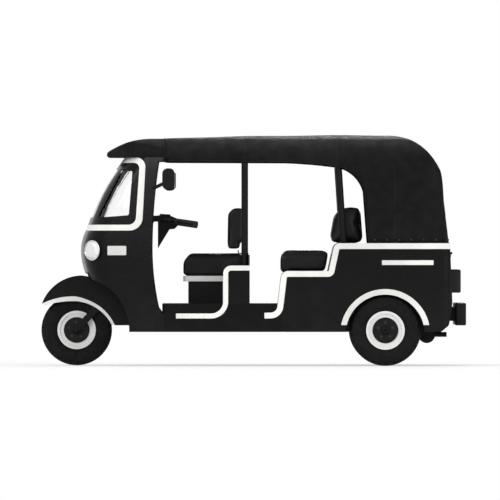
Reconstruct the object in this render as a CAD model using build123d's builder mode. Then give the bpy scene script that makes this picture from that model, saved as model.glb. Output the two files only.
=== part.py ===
from build123d import *
from math import atan2, cos, degrees, radians, sin, tan
import os

os.makedirs("parts", exist_ok=True)

# Three-wheeled auto rickshaw. Millimetres, +X forward, +Y to its left, +Z up,
# origin on the ground below the middle of the vehicle.

# Wheels and axles
wheelbase = 2230
front_axle_x = 1278
tyre_radius = 256
tyre_width = 127
rim_radius = 139
rim_seat_radius = 127
rim_width = 96
hub_radius = 92
hub_half_length = 48
axle_radius = 10
running_gap = 0.5

# Body heights
sill_base_z = 245
footwell_z = 374
floor_z = 448
bench_z = 684
belt_z = 884
door_head_z = 1475
cab_top_z = door_head_z + 28
roof_z = door_head_z + 188

# Body stations from front to rear
nose_x = 1247
cab_rear_x = 640
partition_x = 25
bench_front_x = -201
tail_x = -1417
bumper_x = -1534
tow_hole_radius = 10

# Body widths and walls
body_half_width = 645
wheel_y = body_half_width - 85
floor_sheet = 12
wall = 18
sheet = 8
seat_gap = 0.3
moulding_rise = 6
moulding_width = 42

# Front end
guard_radius = 396
guard_half_width = 112
guard_sheet = 5
arch_overlap = 11
wheel_house_gap = 30
wheel_house_half_width = 330
steer_rake = 30
steer_offset = 63.7
fork_length = 298
stem_radius = 17
head_tube_radius = 29
column_length = 690

# Hood
hood_sheet = 10
hood_half_width_belt = body_half_width - 11
hood_half_width_head = body_half_width - 27
hood_tube_radius = 24
hood_front_x = cab_rear_x - 2
hood_front_z = roof_z - 26

rear_axle_x = front_axle_x - wheelbase
axle_z = tyre_radius
floor_underside_z = floor_z - floor_sheet
footwell_underside_z = footwell_z - floor_sheet
wheel_house_radius = guard_radius + wheel_house_gap

front_angle = radians(7)
side_angle = radians(78)
side_slope = 1 / tan(side_angle)

# Steering axis: local x points forward and up, local z runs up the column
rake = radians(steer_rake)
steer_x = Vector(cos(rake), 0, sin(rake))
steer_z = Vector(-sin(rake), 0, cos(rake))
front_hub = Vector(front_axle_x, 0, axle_z)
crown = front_hub - steer_x * steer_offset + steer_z * fork_length
steer_plane = Plane(origin=crown, x_dir=steer_x, z_dir=steer_z)


def place(part, name):
    """Name a finished piece and write it."""
    part.label = name
    export_step(part, f"parts/{name}.step")


# Cab plan at each height: height, front, half width at the cab's rear, corner radius
lower_levels = (
    (sill_base_z, 1090, body_half_width, 200),
    (600, 1192, body_half_width, 215),
    (820, nose_x, body_half_width, 230),
    (990, 1203, body_half_width - 5, 225),
)
upper_levels = (
    (990, 1203, body_half_width - 5, 225),
    (1246, 1100, body_half_width - 15, 215),
    (cab_top_z, 925, body_half_width - 30, 200),
)


def cab_section(level, inset, rear_x, lift=0):
    """Plan outline of the cab at one height: bowed front, round corners, tapered sides."""
    z, front, half, radius = level
    r = radius - inset
    front -= inset
    half -= inset / sin(side_angle)
    bow = tan(front_angle / 2)
    arc_start = front - r * cos(front_angle) - r * sin(front_angle) * bow
    reach = arc_start + r * cos(side_angle) - cab_rear_x
    yc = (half - r * sin(side_angle) - side_slope * reach) / (1 - bow * side_slope)
    xc = front - r * cos(front_angle) - (yc + r * sin(front_angle)) * bow
    middle_angle = (front_angle + side_angle) / 2
    x1, y1 = xc + r * cos(front_angle), yc + r * sin(front_angle)
    xm, ym = xc + r * cos(middle_angle), yc + r * sin(middle_angle)
    x2, y2 = xc + r * cos(side_angle), yc + r * sin(side_angle)
    y3 = half + (cab_rear_x - rear_x) * side_slope
    with BuildSketch(Plane.XY.offset(z + lift)) as section:
        with BuildLine():
            ThreePointArc((x1, -y1), (front, 0), (x1, y1))
            ThreePointArc((x1, y1), (xm, ym), (x2, y2))
            Line((x2, y2), (rear_x, y3))
            Line((rear_x, y3), (rear_x, -y3))
            Line((rear_x, -y3), (x2, -y2))
            ThreePointArc((x2, -y2), (xm, -ym), (x1, -y1))
        make_face()
    return section.sketch


def cab_solid(levels, inset, rear_x=cab_rear_x, lifts=(0, 0)):
    """Loft through the cab's plan outlines; lifts move the two end outlines."""
    with BuildPart() as solid:
        last = len(levels) - 1
        for i, level in enumerate(levels):
            lift = lifts[0] if i == 0 else lifts[1] if i == last else 0
            add(cab_section(level, inset, rear_x, lift))
        loft()
    return solid.part


def side_prism(face, reach=1000):
    """Solid over the whole width from a face drawn on the XZ plane."""
    with BuildPart() as prism:
        extrude(face.moved(Location((0, reach, 0))), amount=2 * reach, dir=(0, -1, 0))
    return prism.part


open_ends = (-1, 1)
lower_outer = cab_solid(lower_levels, 0)
lower_inner = cab_solid(lower_levels, wall, cab_rear_x - 50, open_ends)
upper_outer = cab_solid(upper_levels, 0)
upper_inner = cab_solid(upper_levels, wall, cab_rear_x - 50, open_ends)

# Windscreen zone in side view: surround outline, frame outline and quarter light
frame_top_z = cab_top_z - 40
with BuildSketch(Plane.XZ) as surround_face:
    with BuildLine():
        FilletPolyline(
            (1400, 975), (801, 975), (772, cab_top_z), (1400, cab_top_z), radius=(95, 70)
        )
        Line((1400, cab_top_z), (1400, 975))
    make_face()
with BuildSketch(Plane.XZ) as frame_face:
    with BuildLine():
        FilletPolyline(
            (1400, 1017), (848, 1017), (817, frame_top_z), (1400, frame_top_z), radius=(55, 40)
        )
        Line((1400, frame_top_z), (1400, 1017))
    make_face()
with BuildSketch(Plane.XZ) as quarter_face:
    with BuildLine():
        FilletPolyline(
            (1122, 1068),
            (896, 1086),
            (870, cab_top_z - 96),
            (944, cab_top_z - 88),
            radius=14,
            close=True,
        )
    make_face()
screen_base_half = body_half_width - 240
screen_top_half = body_half_width - 260
screen_base_z = 1070
screen_top_z = cab_top_z - 85
with BuildSketch(Plane.YZ) as screen_face:
    with BuildLine():
        FilletPolyline(
            (-screen_base_half, screen_base_z),
            (screen_base_half, screen_base_z),
            (screen_top_half, screen_top_z),
            (-screen_top_half, screen_top_z),
            radius=45,
            close=True,
        )
    make_face()
surround_zone = side_prism(surround_face.sketch)
frame_zone = side_prism(frame_face.sketch)
quarter_zone = side_prism(quarter_face.sketch)
with BuildPart() as screen_prism:
    extrude(screen_face.sketch, amount=1400, dir=(1, 0, 0))
with BuildPart() as ahead_of_pillars:
    with Locations((1100, 0, 1250)):
        Box(500, 2 * screen_base_half + 40, 600)
screen_zone = screen_prism.part & ahead_of_pillars.part

# Door opening of the driver's side, its front edge following the screen pillar
with BuildSketch(Plane.XZ) as door_face:
    with BuildLine():
        ThreePointArc((683, door_head_z), (719, 1170), (732, 900))
        ThreePointArc((732, 900), (717, 600), (685, 418))
        Line((685, 418), (653, footwell_z))
        Line((653, footwell_z), (500, footwell_z))
        Line((500, footwell_z), (500, door_head_z))
        Line((500, door_head_z), (683, door_head_z))
    make_face()
door_zone = side_prism(door_face.sketch)

# Front cowl: nose, cheeks and screen pillars in one shell, open over the wheel
lamp_x, lamp_z, lamp_yaw = 1150, 832, 48
lamp_radius = 72
lens_radius = 66
lamp_inset = 140
indicator_length, indicator_height, indicator_depth = 138, 67, 12
indicator_x, indicator_z = 980, 831


def cheek_y(x):
    """Half width of the cab's flat cheek at a station, at lamp height."""
    return body_half_width - (x - cab_rear_x) * side_slope


def mirrored_planes(origin, yaw):
    """The same place on the left and right, its normal turned outward by yaw."""
    x, y, z = origin
    c, s = cos(radians(yaw)), sin(radians(yaw))
    return (
        Plane(origin=(x, y, z), x_dir=(-s, c, 0), z_dir=(c, s, 0)),
        Plane(origin=(x, -y, z), x_dir=(s, c, 0), z_dir=(c, -s, 0)),
    )


lamp_planes = mirrored_planes((lamp_x, body_half_width - lamp_inset, lamp_z), lamp_yaw)
indicator_planes = mirrored_planes(
    (indicator_x, cheek_y(indicator_x), indicator_z), degrees(side_angle)
)

with BuildPart() as front_cowl:
    add(lower_outer)
    add(upper_outer)
    add(lower_inner, mode=Mode.SUBTRACT)
    add(upper_inner, mode=Mode.SUBTRACT)
    add(surround_zone, mode=Mode.SUBTRACT)
    add(door_zone, mode=Mode.SUBTRACT)
    with Locations(Location(tuple(front_hub), (90, 0, 0))):
        Cylinder(guard_radius - arch_overlap, 2000, mode=Mode.SUBTRACT)
        Cylinder(guard_radius + 19, 2 * wheel_house_half_width, mode=Mode.SUBTRACT)
    with Locations((1500, 0, sill_base_z)):
        Box(500, 2000, 700, mode=Mode.SUBTRACT)
    for plane in lamp_planes:
        with BuildSketch(plane.offset(-90)):
            Circle(lamp_radius + seat_gap)
        extrude(amount=160, mode=Mode.SUBTRACT)
    for plane in indicator_planes:
        with BuildSketch(plane.offset(-40)):
            Rectangle(indicator_length + 2 * seat_gap, indicator_height + 2 * seat_gap)
        extrude(amount=80, mode=Mode.SUBTRACT)
place(front_cowl.part, "front_cowl")

# White surround round the windscreen, standing a little proud
proud = 4
with BuildPart() as windscreen_moulding:
    add(cab_solid(lower_levels, -proud))
    add(cab_solid(upper_levels, -proud))
    add(lower_inner, mode=Mode.SUBTRACT)
    add(upper_inner, mode=Mode.SUBTRACT)
    add(surround_zone, mode=Mode.INTERSECT)
    add(frame_zone, mode=Mode.SUBTRACT)
place(windscreen_moulding.part, "windscreen_moulding")

# Windscreen frame with its front and quarter openings
with BuildPart() as windscreen_frame:
    add(upper_outer)
    add(upper_inner, mode=Mode.SUBTRACT)
    add(frame_zone, mode=Mode.INTERSECT)
    add(quarter_zone, mode=Mode.SUBTRACT)
    add(screen_zone, mode=Mode.SUBTRACT)
place(windscreen_frame.part, "windscreen_frame")

# Glass: the curved front pane and the two quarter lights
glass_inset = 8
glass_thickness = 5
with BuildPart() as glass_shell:
    add(cab_solid(upper_levels, glass_inset))
    add(
        cab_solid(upper_levels, glass_inset + glass_thickness, cab_rear_x - 50, open_ends),
        mode=Mode.SUBTRACT,
    )
with BuildSketch(Plane.XZ) as quarter_pane:
    add(quarter_face.sketch_local)
    offset(amount=-seat_gap)
with BuildSketch(Plane.YZ) as screen_pane:
    add(screen_face.sketch_local)
    offset(amount=-seat_gap)
with BuildPart() as screen_pane_prism:
    extrude(screen_pane.sketch, amount=1400, dir=(1, 0, 0))
    add(ahead_of_pillars.part, mode=Mode.INTERSECT)
with BuildPart() as windscreen_glass:
    add(glass_shell.part)
    add(screen_pane_prism.part, mode=Mode.INTERSECT)
place(windscreen_glass.part, "windscreen_glass")
quarter_prism = side_prism(quarter_pane.sketch)
with BuildPart() as quarter_glass:
    add(glass_shell.part)
    add(quarter_prism, mode=Mode.INTERSECT)
    add(screen_zone, mode=Mode.SUBTRACT)
place(quarter_glass.part, "quarter_glass")

# Inner panel over the front wheel, closing the cab's foot space
with BuildSketch(Plane.XZ) as wheel_house_face:
    with Locations((front_axle_x, axle_z)):
        Circle(wheel_house_radius + sheet)
        Circle(wheel_house_radius, mode=Mode.SUBTRACT)
    with Locations((front_axle_x - 500, footwell_underside_z + 400)):
        Rectangle(1000, 800, mode=Mode.INTERSECT)
head_cut_radius = head_tube_radius + seat_gap
with BuildPart() as wheel_house:
    add(cab_solid(lower_levels, wall + seat_gap, cab_rear_x))
    add(side_prism(wheel_house_face.sketch), mode=Mode.INTERSECT)
    with BuildSketch(steer_plane):
        Circle(head_cut_radius)
    extrude(amount=column_length, mode=Mode.SUBTRACT)
place(wheel_house.part, "wheel_house")

# Floor: raised platform, foot well ahead of it and the sill skirts at both sides
skirt_inner = body_half_width - wall
house_rise = footwell_underside_z - axle_z
footwell_front_x = front_axle_x - (wheel_house_radius**2 - house_rise**2) ** 0.5 - sheet - 2
with BuildPart() as floor_pan:
    platform_front = 655
    platform_length = platform_front - bench_front_x
    with Locations((platform_front - platform_length / 2, 0, floor_z - floor_sheet / 2)):
        Box(platform_length, 2 * body_half_width, floor_sheet)
    skirt_length = cab_rear_x - seat_gap - bench_front_x
    for side in (-1, 1):
        with Locations(
            (
                bench_front_x + skirt_length / 2,
                side * (body_half_width - wall / 2),
                (sill_base_z + floor_z) / 2,
            )
        ):
            Box(skirt_length, wall, floor_z - sill_base_z)
    with BuildSketch(Plane.XY.offset(footwell_underside_z)):
        with BuildLine():
            front_half = cheek_y(footwell_front_x) - wall - 12
            rear_half = skirt_inner - 8
            riser_x = platform_front - floor_sheet
            Polyline(
                (riser_x, -rear_half),
                (footwell_front_x, -front_half),
                (footwell_front_x, front_half),
                (riser_x, rear_half),
                close=True,
            )
        make_face()
    extrude(amount=floor_sheet)
    riser_z = (footwell_underside_z + floor_z) / 2
    with Locations((platform_front - floor_sheet / 2, 0, riser_z)):
        Box(floor_sheet, 2 * rear_half, floor_z - footwell_underside_z)
    with Locations((815, 0, footwell_z - floor_sheet / 2)):
        Box(100, 66, floor_sheet + 1, mode=Mode.SUBTRACT)
place(floor_pan.part, "floor_pan")

# Side outline shared by the tub and its belt moulding: the middle line of the moulding
half_band = moulding_width / 2
belt_line = (
    (-81, 362),
    (bench_front_x + half_band - 8, 366),
    (bench_front_x - half_band - 2, bench_z - half_band),
    (-560, bench_z - half_band),
    (-603, belt_z - half_band),
    (tail_x, belt_z - half_band),
)
belt_radii = (70, 30, 26, 28)
partition_top_z = bench_z + 21
partition_line = (
    (556, 360),
    (198, 360),
    (198, partition_top_z),
    (partition_x, partition_top_z),
)
partition_radii = (105, 40)
partition_band = 36


def band_face(points, radii, width):
    """Flat band of one width along a line with rounded corners, drawn on the XZ plane."""
    with BuildSketch(Plane.XZ) as band:
        with BuildLine() as middle:
            FilletPolyline(*points, radius=radii)
        trace(middle.line, line_width=width)
    return band


arch_inner_radius = 284
arch_band = 40
arch_centre = (rear_axle_x + 2, 230)
stripe_length, stripe_height = 371, 34
stripe_x, stripe_z = -1112, 744

belt_band = band_face(belt_line, belt_radii, moulding_width)
partition_edge_band = band_face(partition_line, partition_radii, partition_band)
with BuildSketch(Plane.XZ) as arch_ring:
    with Locations(arch_centre):
        Circle(arch_inner_radius + arch_band)
        Circle(arch_inner_radius, mode=Mode.SUBTRACT)
    with Locations((arch_centre[0], 295 + 500)):
        Rectangle(1000, 1000, mode=Mode.INTERSECT)
with BuildSketch(Plane.XZ) as stripe_face:
    with Locations((stripe_x, stripe_z)):
        Rectangle(stripe_length, stripe_height)

# Rear tub: bench step, belt deck, sides with wheel arches and the rear wall
tub_front_x = bench_front_x - half_band
with BuildSketch(Plane.XZ) as tub_face:
    with BuildLine():
        FilletPolyline(
            (tub_front_x, sill_base_z),
            (tub_front_x, floor_z),
            (tub_front_x - 24, bench_z),
            (-539, bench_z),
            (-582, belt_z),
            (tail_x, belt_z),
            (-1435, 454),
            (-1410, 292),
            (-1352, sill_base_z),
            radius=(2, 40, 10, 45, 6, 60, 40),
        )
        Line((-1352, sill_base_z), (tub_front_x, sill_base_z))
    make_face()
tub_cavity_front = tub_front_x - wall
tub_cavity_rear = -1352 + wall
with BuildSketch(Plane.XZ) as tub_inside_face:
    add(tub_face.sketch_local)
    offset(amount=-wall)
    with Locations(((tub_cavity_front - 24 + tub_cavity_rear) / 2, sill_base_z + 20)):
        Rectangle(tub_cavity_front - 24 - tub_cavity_rear, 80)
tub_corner_radius = 70


def tub_plan(inset):
    """Plan outline of the tub with its round rear corners."""
    with BuildPart() as plan:
        with BuildSketch(Plane.XY):
            with BuildLine():
                half = body_half_width - inset
                FilletPolyline(
                    (0, -half),
                    (tail_x - 22 + inset, -half),
                    (tail_x - 22 + inset, half),
                    (0, half),
                    radius=tub_corner_radius - inset,
                )
                Line((0, half), (0, -half))
            make_face()
        extrude(amount=1200)
    return plan.part


hatch_half_width = 320
hatch_base_z, hatch_top_z = 470, 800
hatch_gap = 6
knuckle_radius = 9
hinge_pin_radius = 4
hinge_z = hatch_top_z + 12
hinge_x = -1430.5
louvre_count, louvre_pitch = 5, 42
house_inner_y = wheel_y - 77
tail_lamp_depth, tail_lamp_width, tail_lamp_height = 79, 120, 168
spring_x = rear_axle_x + 95
strut_top_z = 570

room_radius = tyre_radius + 28
with BuildPart() as wheel_rooms:
    for side in (-1, 1):
        with Locations(
            Location(
                (rear_axle_x, side * (house_inner_y + skirt_inner + 1) / 2, axle_z),
                (90, 0, 0),
            )
        ):
            Cylinder(room_radius + sheet, skirt_inner + 1 - house_inner_y)
    with Locations((arch_centre[0], 0, sill_base_z - 500)):
        Box(1000, 2000, 1000, mode=Mode.SUBTRACT)
tub_cavity = side_prism(tub_inside_face.sketch, body_half_width - wall)

with BuildPart() as rear_tub:
    add(side_prism(tub_face.sketch))
    add(tub_plan(0), mode=Mode.INTERSECT)
    add(tub_cavity, mode=Mode.SUBTRACT)
    add(wheel_rooms.part)
    for side in (-1, 1):
        room_inner = house_inner_y + sheet
        with Locations(
            Location(
                (rear_axle_x, side * (room_inner + skirt_inner) / 2, axle_z),
                (90, 0, 0),
            )
        ):
            Cylinder(room_radius, skirt_inner - room_inner, mode=Mode.SUBTRACT)
        with Locations(
            Location(
                (arch_centre[0], side * (skirt_inner + 200), arch_centre[1]),
                (90, 0, 0),
            )
        ):
            Cylinder(arch_inner_radius, 400.2, mode=Mode.SUBTRACT)
        with Locations((spring_x, side * (house_inner_y - 38), strut_top_z + seat_gap + 6)):
            Box(100, 78, 12)
        with Locations((rear_axle_x, side * (house_inner_y + sheet / 2), axle_z - 15)):
            Box(150, 3 * sheet, 180, mode=Mode.SUBTRACT)
    with Locations((tub_front_x, 0, floor_underside_z - 150)):
        Box(120, 2 * skirt_inner, 300, mode=Mode.SUBTRACT)
    with Locations((tail_x, 0, (hatch_base_z + hatch_top_z) / 2)):
        Box(200, 2 * hatch_half_width, hatch_top_z - hatch_base_z, mode=Mode.SUBTRACT)
    for y in (-hatch_half_width + 60, hatch_half_width - 60):
        with Locations(Location((hinge_x, y, hinge_z), (90, 0, 0))):
            Cylinder(knuckle_radius, 30)
            Cylinder(hinge_pin_radius, 90)
        with Locations((hinge_x + 8, y, hinge_z)):
            Box(16, 30, 14)
place(rear_tub.part, "rear_tub")

# Engine hatch: the rear wall's panel with pressed louvres, hung on two pins at its top
tub_wall_zone = side_prism(tub_inside_face.sketch, hatch_half_width + 50)
with BuildPart() as engine_hatch:
    add(side_prism(tub_face.sketch, hatch_half_width - hatch_gap))
    add(tub_wall_zone, mode=Mode.SUBTRACT)
    with Locations((tail_x - 20, 0, (hatch_base_z + hatch_top_z) / 2)):
        Box(
            60,
            2 * (hatch_half_width - hatch_gap),
            hatch_top_z - hatch_base_z - 2 * hatch_gap,
            mode=Mode.INTERSECT,
        )
    for i in range(louvre_count):
        z = (hatch_base_z + hatch_top_z) / 2 + (i - (louvre_count - 1) / 2) * louvre_pitch
        with Locations((tail_x - 10, 0, z)):
            Box(80, 380, 14, mode=Mode.SUBTRACT)
    for y in (-hatch_half_width + 60, hatch_half_width - 60):
        for turn in (-1, 1):
            with Locations((hinge_x + 8, y + turn * 30.6, hinge_z - 33)):
                Box(8, 30, 30)
            with Locations((hinge_x + 4.5, y + turn * 30.6, hinge_z - 12)):
                Box(5, 30, 30)
            with Locations(Location((hinge_x, y + turn * 30.6, hinge_z), (90, 0, 0))):
                Cylinder(knuckle_radius, 30)
                Cylinder(hinge_pin_radius + 0.3, 32, mode=Mode.SUBTRACT)
place(engine_hatch.part, "engine_hatch")

# Partition behind the driver: two side panels below the middle pillars and a cross wall
cross_wall_top_z = partition_top_z + 95
with BuildSketch(Plane.XZ) as partition_face:
    add(partition_edge_band.sketch_local)
    with Locations(((partition_x + 198) / 2, (floor_z + partition_top_z) / 2)):
        Rectangle(198 - partition_x, partition_top_z - floor_z)
    with Locations((0, floor_z + seat_gap - 500)):
        Rectangle(3000, 1000, mode=Mode.SUBTRACT)
with BuildPart() as partition:
    add(side_prism(partition_face.sketch, body_half_width))
    with Locations((partition_x + 100, 0, 600)):
        Box(400, 2 * (body_half_width - wall), 500, mode=Mode.SUBTRACT)
    with Locations((partition_x + sheet / 2, 0, (floor_z + cross_wall_top_z) / 2)):
        Box(sheet, 2 * (body_half_width - wall), cross_wall_top_z - floor_z - 2 * seat_gap)
place(partition.part, "partition")

# White mouldings on both body sides: belt, partition edge, wheel arch and side stripe
with BuildPart() as body_mouldings:
    for band in (belt_band, partition_edge_band, arch_ring, stripe_face):
        face = band.sketch
        for y in (body_half_width + moulding_rise, -body_half_width):
            extrude(face.moved(Location((0, y, 0))), amount=moulding_rise, dir=(0, -1, 0))
place(body_mouldings.part, "body_mouldings")


def side_tube(points, radius, tube_radius, start_dir):
    """Round tube along a path with equal bends."""
    with BuildPart() as tube:
        with BuildLine():
            path = FilletPolyline(*points, radius=radius)
        with BuildSketch(Plane(origin=points[0], z_dir=start_dir)):
            Circle(tube_radius)
        sweep(path=path)
    return tube.part


# Hood frame: middle and rear hoops with their pillars, and the rails over the doors
hoop_half = hood_half_width_head - hood_sheet - hood_tube_radius - 2
hoop_top_z = roof_z - hood_sheet - hood_tube_radius - 26
middle_hoop_x = 61
rear_pillar_x = -604
rear_pillar_foot_x = -650
with BuildPart() as hood_frame:
    add(
        side_tube(
            [
                (middle_hoop_x, -hoop_half, floor_z + seat_gap),
                (middle_hoop_x, -hoop_half, hoop_top_z - 14),
                (middle_hoop_x, hoop_half, hoop_top_z - 14),
                (middle_hoop_x, hoop_half, floor_z + seat_gap),
            ],
            150,
            hood_tube_radius,
            (0, 0, 1),
        )
    )
    add(
        side_tube(
            [
                (rear_pillar_foot_x - 1, -hoop_half, belt_z - 12),
                (rear_pillar_x, -hoop_half, hoop_top_z - 8),
                (rear_pillar_x, hoop_half, hoop_top_z - 8),
                (rear_pillar_foot_x - 1, hoop_half, belt_z - 12),
            ],
            150,
            hood_tube_radius,
            (rear_pillar_x - rear_pillar_foot_x + 1, 0, hoop_top_z - 8 - belt_z + 12),
        )
    )
    for side in (-1, 1):
        rail_start = (cab_rear_x, side * (hoop_half - 4), door_head_z + 22)
        with BuildSketch(Plane(origin=rail_start, z_dir=(-1, 0, 0))):
            Circle(14)
        extrude(amount=cab_rear_x - rear_pillar_x + 10)
    with Locations((rear_pillar_foot_x, 0, belt_z + seat_gap - 50)):
        Box(200, 2 * body_half_width, 100, mode=Mode.SUBTRACT)
place(hood_frame.part, "hood_frame")

# Hood: canvas shell over the frame, open at the doors and the rear window
hood_bend_z = roof_z - 266
hood_base_z = belt_z + seat_gap
with BuildSketch(Plane.XZ) as hood_face:
    with BuildLine():
        ThreePointArc((hood_front_x, hood_front_z), (-150, roof_z - 3), (-949, roof_z))
        ThreePointArc((-949, roof_z), (-1220, roof_z - 88), (-1345, hood_bend_z))
        Line((-1345, hood_bend_z), (-1410, hood_base_z))
        Line((-1410, hood_base_z), (hood_front_x, hood_base_z))
        Line((hood_front_x, hood_base_z), (hood_front_x, hood_front_z))
    make_face()
with BuildSketch(Plane.XZ) as hood_inside_face:
    with BuildLine():
        ThreePointArc(
            (hood_front_x + 40, hood_front_z - hood_sheet),
            (-150, roof_z - 3 - hood_sheet),
            (-949, roof_z - hood_sheet),
        )
        ThreePointArc(
            (-949, roof_z - hood_sheet), (-1213, roof_z - 95), (-1345 + hood_sheet, hood_bend_z)
        )
        Line((-1345 + hood_sheet, hood_bend_z), (-1410 + hood_sheet, hood_base_z - 84))
        Line((-1410 + hood_sheet, hood_base_z - 84), (hood_front_x + 40, hood_base_z - 84))
        Line((hood_front_x + 40, hood_base_z - 84), (hood_front_x + 40, hood_front_z - hood_sheet))
    make_face()
hood_bend = 140


def hood_cross(inset):
    """Cross-section of the hood over its whole length: leaning sides and a crowned roof."""
    with BuildPart() as cross:
        with BuildSketch(Plane.YZ.offset(-1600)):
            base, head = hood_half_width_belt - inset, hood_half_width_head - inset
            base_z, crown_z = hood_base_z - 84, roof_z + 3 - inset
            bend_start = (head, door_head_z)
            bend_middle = (head - 38, roof_z - 73 - inset)
            bend_end = (head - hood_bend, roof_z - 25 - inset)
            with BuildLine():
                Line((0, base_z), (base, base_z))
                Line((base, base_z), bend_start)
                ThreePointArc(bend_start, bend_middle, bend_end)
                ThreePointArc(bend_end, (0, crown_z), (-bend_end[0], bend_end[1]))
                ThreePointArc(
                    (-bend_end[0], bend_end[1]), (-bend_middle[0], bend_middle[1]), (-head, door_head_z)
                )
                Line((-head, door_head_z), (-base, base_z))
                Line((-base, base_z), (0, base_z))
            make_face()
        extrude(amount=2600)
    return cross.part


with BuildSketch(Plane.XZ) as hood_side_opening:
    with BuildLine():
        Line((900, door_head_z), (-229, door_head_z - 4))
        ThreePointArc((-229, door_head_z - 4), (-420, door_head_z - 15), (-575, door_head_z - 32))
        ThreePointArc((-575, door_head_z - 32), (-740, door_head_z - 105), (-803, door_head_z - 215))
        Line((-803, door_head_z - 215), (-831, belt_z))
        Line((-831, belt_z), (-831, belt_z - 184))
        Line((-831, belt_z - 184), (900, belt_z - 184))
        Line((900, belt_z - 184), (900, door_head_z))
    make_face()
rear_window_half = 300
rear_window_base_z, rear_window_top_z = belt_z + 196, door_head_z - 145
with BuildSketch(Plane.YZ.offset(-1600)) as rear_window_face:
    with Locations((0, (rear_window_base_z + rear_window_top_z) / 2)):
        RectangleRounded(2 * rear_window_half, rear_window_top_z - rear_window_base_z, 60)
hood_plan_corner = 110


def hood_plan(inset):
    """Plan outline of the hood with its round rear corners."""
    with BuildPart() as plan:
        with BuildSketch(Plane.XY.offset(belt_z - 184)):
            with BuildLine():
                half = hood_half_width_belt - inset
                rear = -1412 + inset
                FilletPolyline(
                    (1200, -half),
                    (rear, -half),
                    (rear, half),
                    (1200, half),
                    radius=hood_plan_corner - inset,
                )
                Line((1200, half), (1200, -half))
            make_face()
        extrude(amount=1100)
    return plan.part


with BuildPart() as rear_window_tool:
    extrude(rear_window_face.sketch, amount=500, dir=(1, 0, 0))
with BuildPart() as hood_inner:
    add(side_prism(hood_inside_face.sketch))
    add(hood_cross(hood_sheet), mode=Mode.INTERSECT)
    add(hood_plan(hood_sheet), mode=Mode.INTERSECT)
with BuildPart() as hood_canopy:
    add(side_prism(hood_face.sketch))
    add(hood_cross(0), mode=Mode.INTERSECT)
    add(hood_plan(0), mode=Mode.INTERSECT)
    add(hood_inner.part, mode=Mode.SUBTRACT)
    add(side_prism(hood_side_opening.sketch), mode=Mode.SUBTRACT)
    add(rear_window_tool.part, mode=Mode.SUBTRACT)
place(hood_canopy.part, "hood_canopy")

# Clear rear window set in the hood's opening
with BuildSketch(Plane.XZ) as window_skin_face:
    with BuildLine():
        Polyline(
            (-1407, belt_z), (-1342, hood_bend_z), (-1338, hood_bend_z), (-1403, belt_z), close=True
        )
    make_face()
with BuildSketch(Plane.YZ.offset(-1600)) as window_pane_face:
    add(rear_window_face.sketch_local)
    offset(amount=-seat_gap)
with BuildPart() as rear_window:
    extrude(window_pane_face.sketch, amount=500, dir=(1, 0, 0))
    add(side_prism(window_skin_face.sketch), mode=Mode.INTERSECT)
place(rear_window.part, "rear_window")

# Roof visor over the windscreen, a hollow hard cap ahead of the hood
visor_tip_x = 1056
visor_base_z = cab_top_z + seat_gap
with BuildSketch(Plane.XZ) as visor_face:
    with BuildLine():
        ThreePointArc(
            (hood_front_x + 2, hood_front_z), (851, roof_z - 44), (1031, roof_z - 104)
        )
        ThreePointArc((1031, roof_z - 104), (visor_tip_x, cab_top_z + 29), (1040, visor_base_z))
        Line((1040, visor_base_z), (hood_front_x + 2, visor_base_z))
        Line((hood_front_x + 2, visor_base_z), (hood_front_x + 2, hood_front_z))
    make_face()
with BuildSketch(Plane.XZ) as visor_inside_face:
    with BuildLine():
        ThreePointArc((500, roof_z - 35), (800, roof_z - 47), (930, roof_z - 83))
        Line((930, roof_z - 83), (860, cab_top_z - 13))
        Line((860, cab_top_z - 13), (500, cab_top_z - 13))
        Line((500, cab_top_z - 13), (500, roof_z - 35))
    make_face()


def visor_plan(inset):
    """Plan outline of the visor: bowed front, round corners, slightly tapered sides."""
    with BuildPart() as plan:
        with BuildSketch(Plane.XY.offset(1400)):
            half = hood_half_width_head - inset
            front, tip = 990 - inset, visor_tip_x + 1 - inset
            corner, shoulder = half + inset - 218, half - 58
            with BuildLine():
                FilletPolyline(
                    (front, corner),
                    (870, shoulder),
                    (500, half),
                    (500, -half),
                    (870, -shoulder),
                    (front, -corner),
                    radius=120,
                )
                ThreePointArc((front, -corner), (tip, 0), (front, corner))
            make_face()
        extrude(amount=400)
    return plan.part


with BuildPart() as visor_cavity:
    add(side_prism(visor_inside_face.sketch))
    add(visor_plan(12), mode=Mode.INTERSECT)
    add(hood_cross(hood_sheet + 2), mode=Mode.INTERSECT)
with BuildPart() as roof_visor:
    add(side_prism(visor_face.sketch))
    add(visor_plan(0), mode=Mode.INTERSECT)
    add(hood_cross(0), mode=Mode.INTERSECT)
    add(visor_cavity.part, mode=Mode.SUBTRACT)
place(roof_visor.part, "roof_visor")


def cushion(size_x, size_z, half_width, centre_x, base_z, front_radius, name):
    """Plain padded block, rounded at its front and ends."""
    with BuildPart() as pad:
        with Locations((centre_x, 0, base_z + size_z / 2)):
            Box(size_x, 2 * half_width, size_z)
        top = pad.edges().filter_by(Axis.Y).group_by(Axis.Z)[-1]
        fillet(top.sort_by(Axis.X)[-1], front_radius)
        top = pad.edges().filter_by(Axis.Y).group_by(Axis.Z)[-1]
        fillet(top.sort_by(Axis.X)[0], 30)
    place(pad.part, name)


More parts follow.
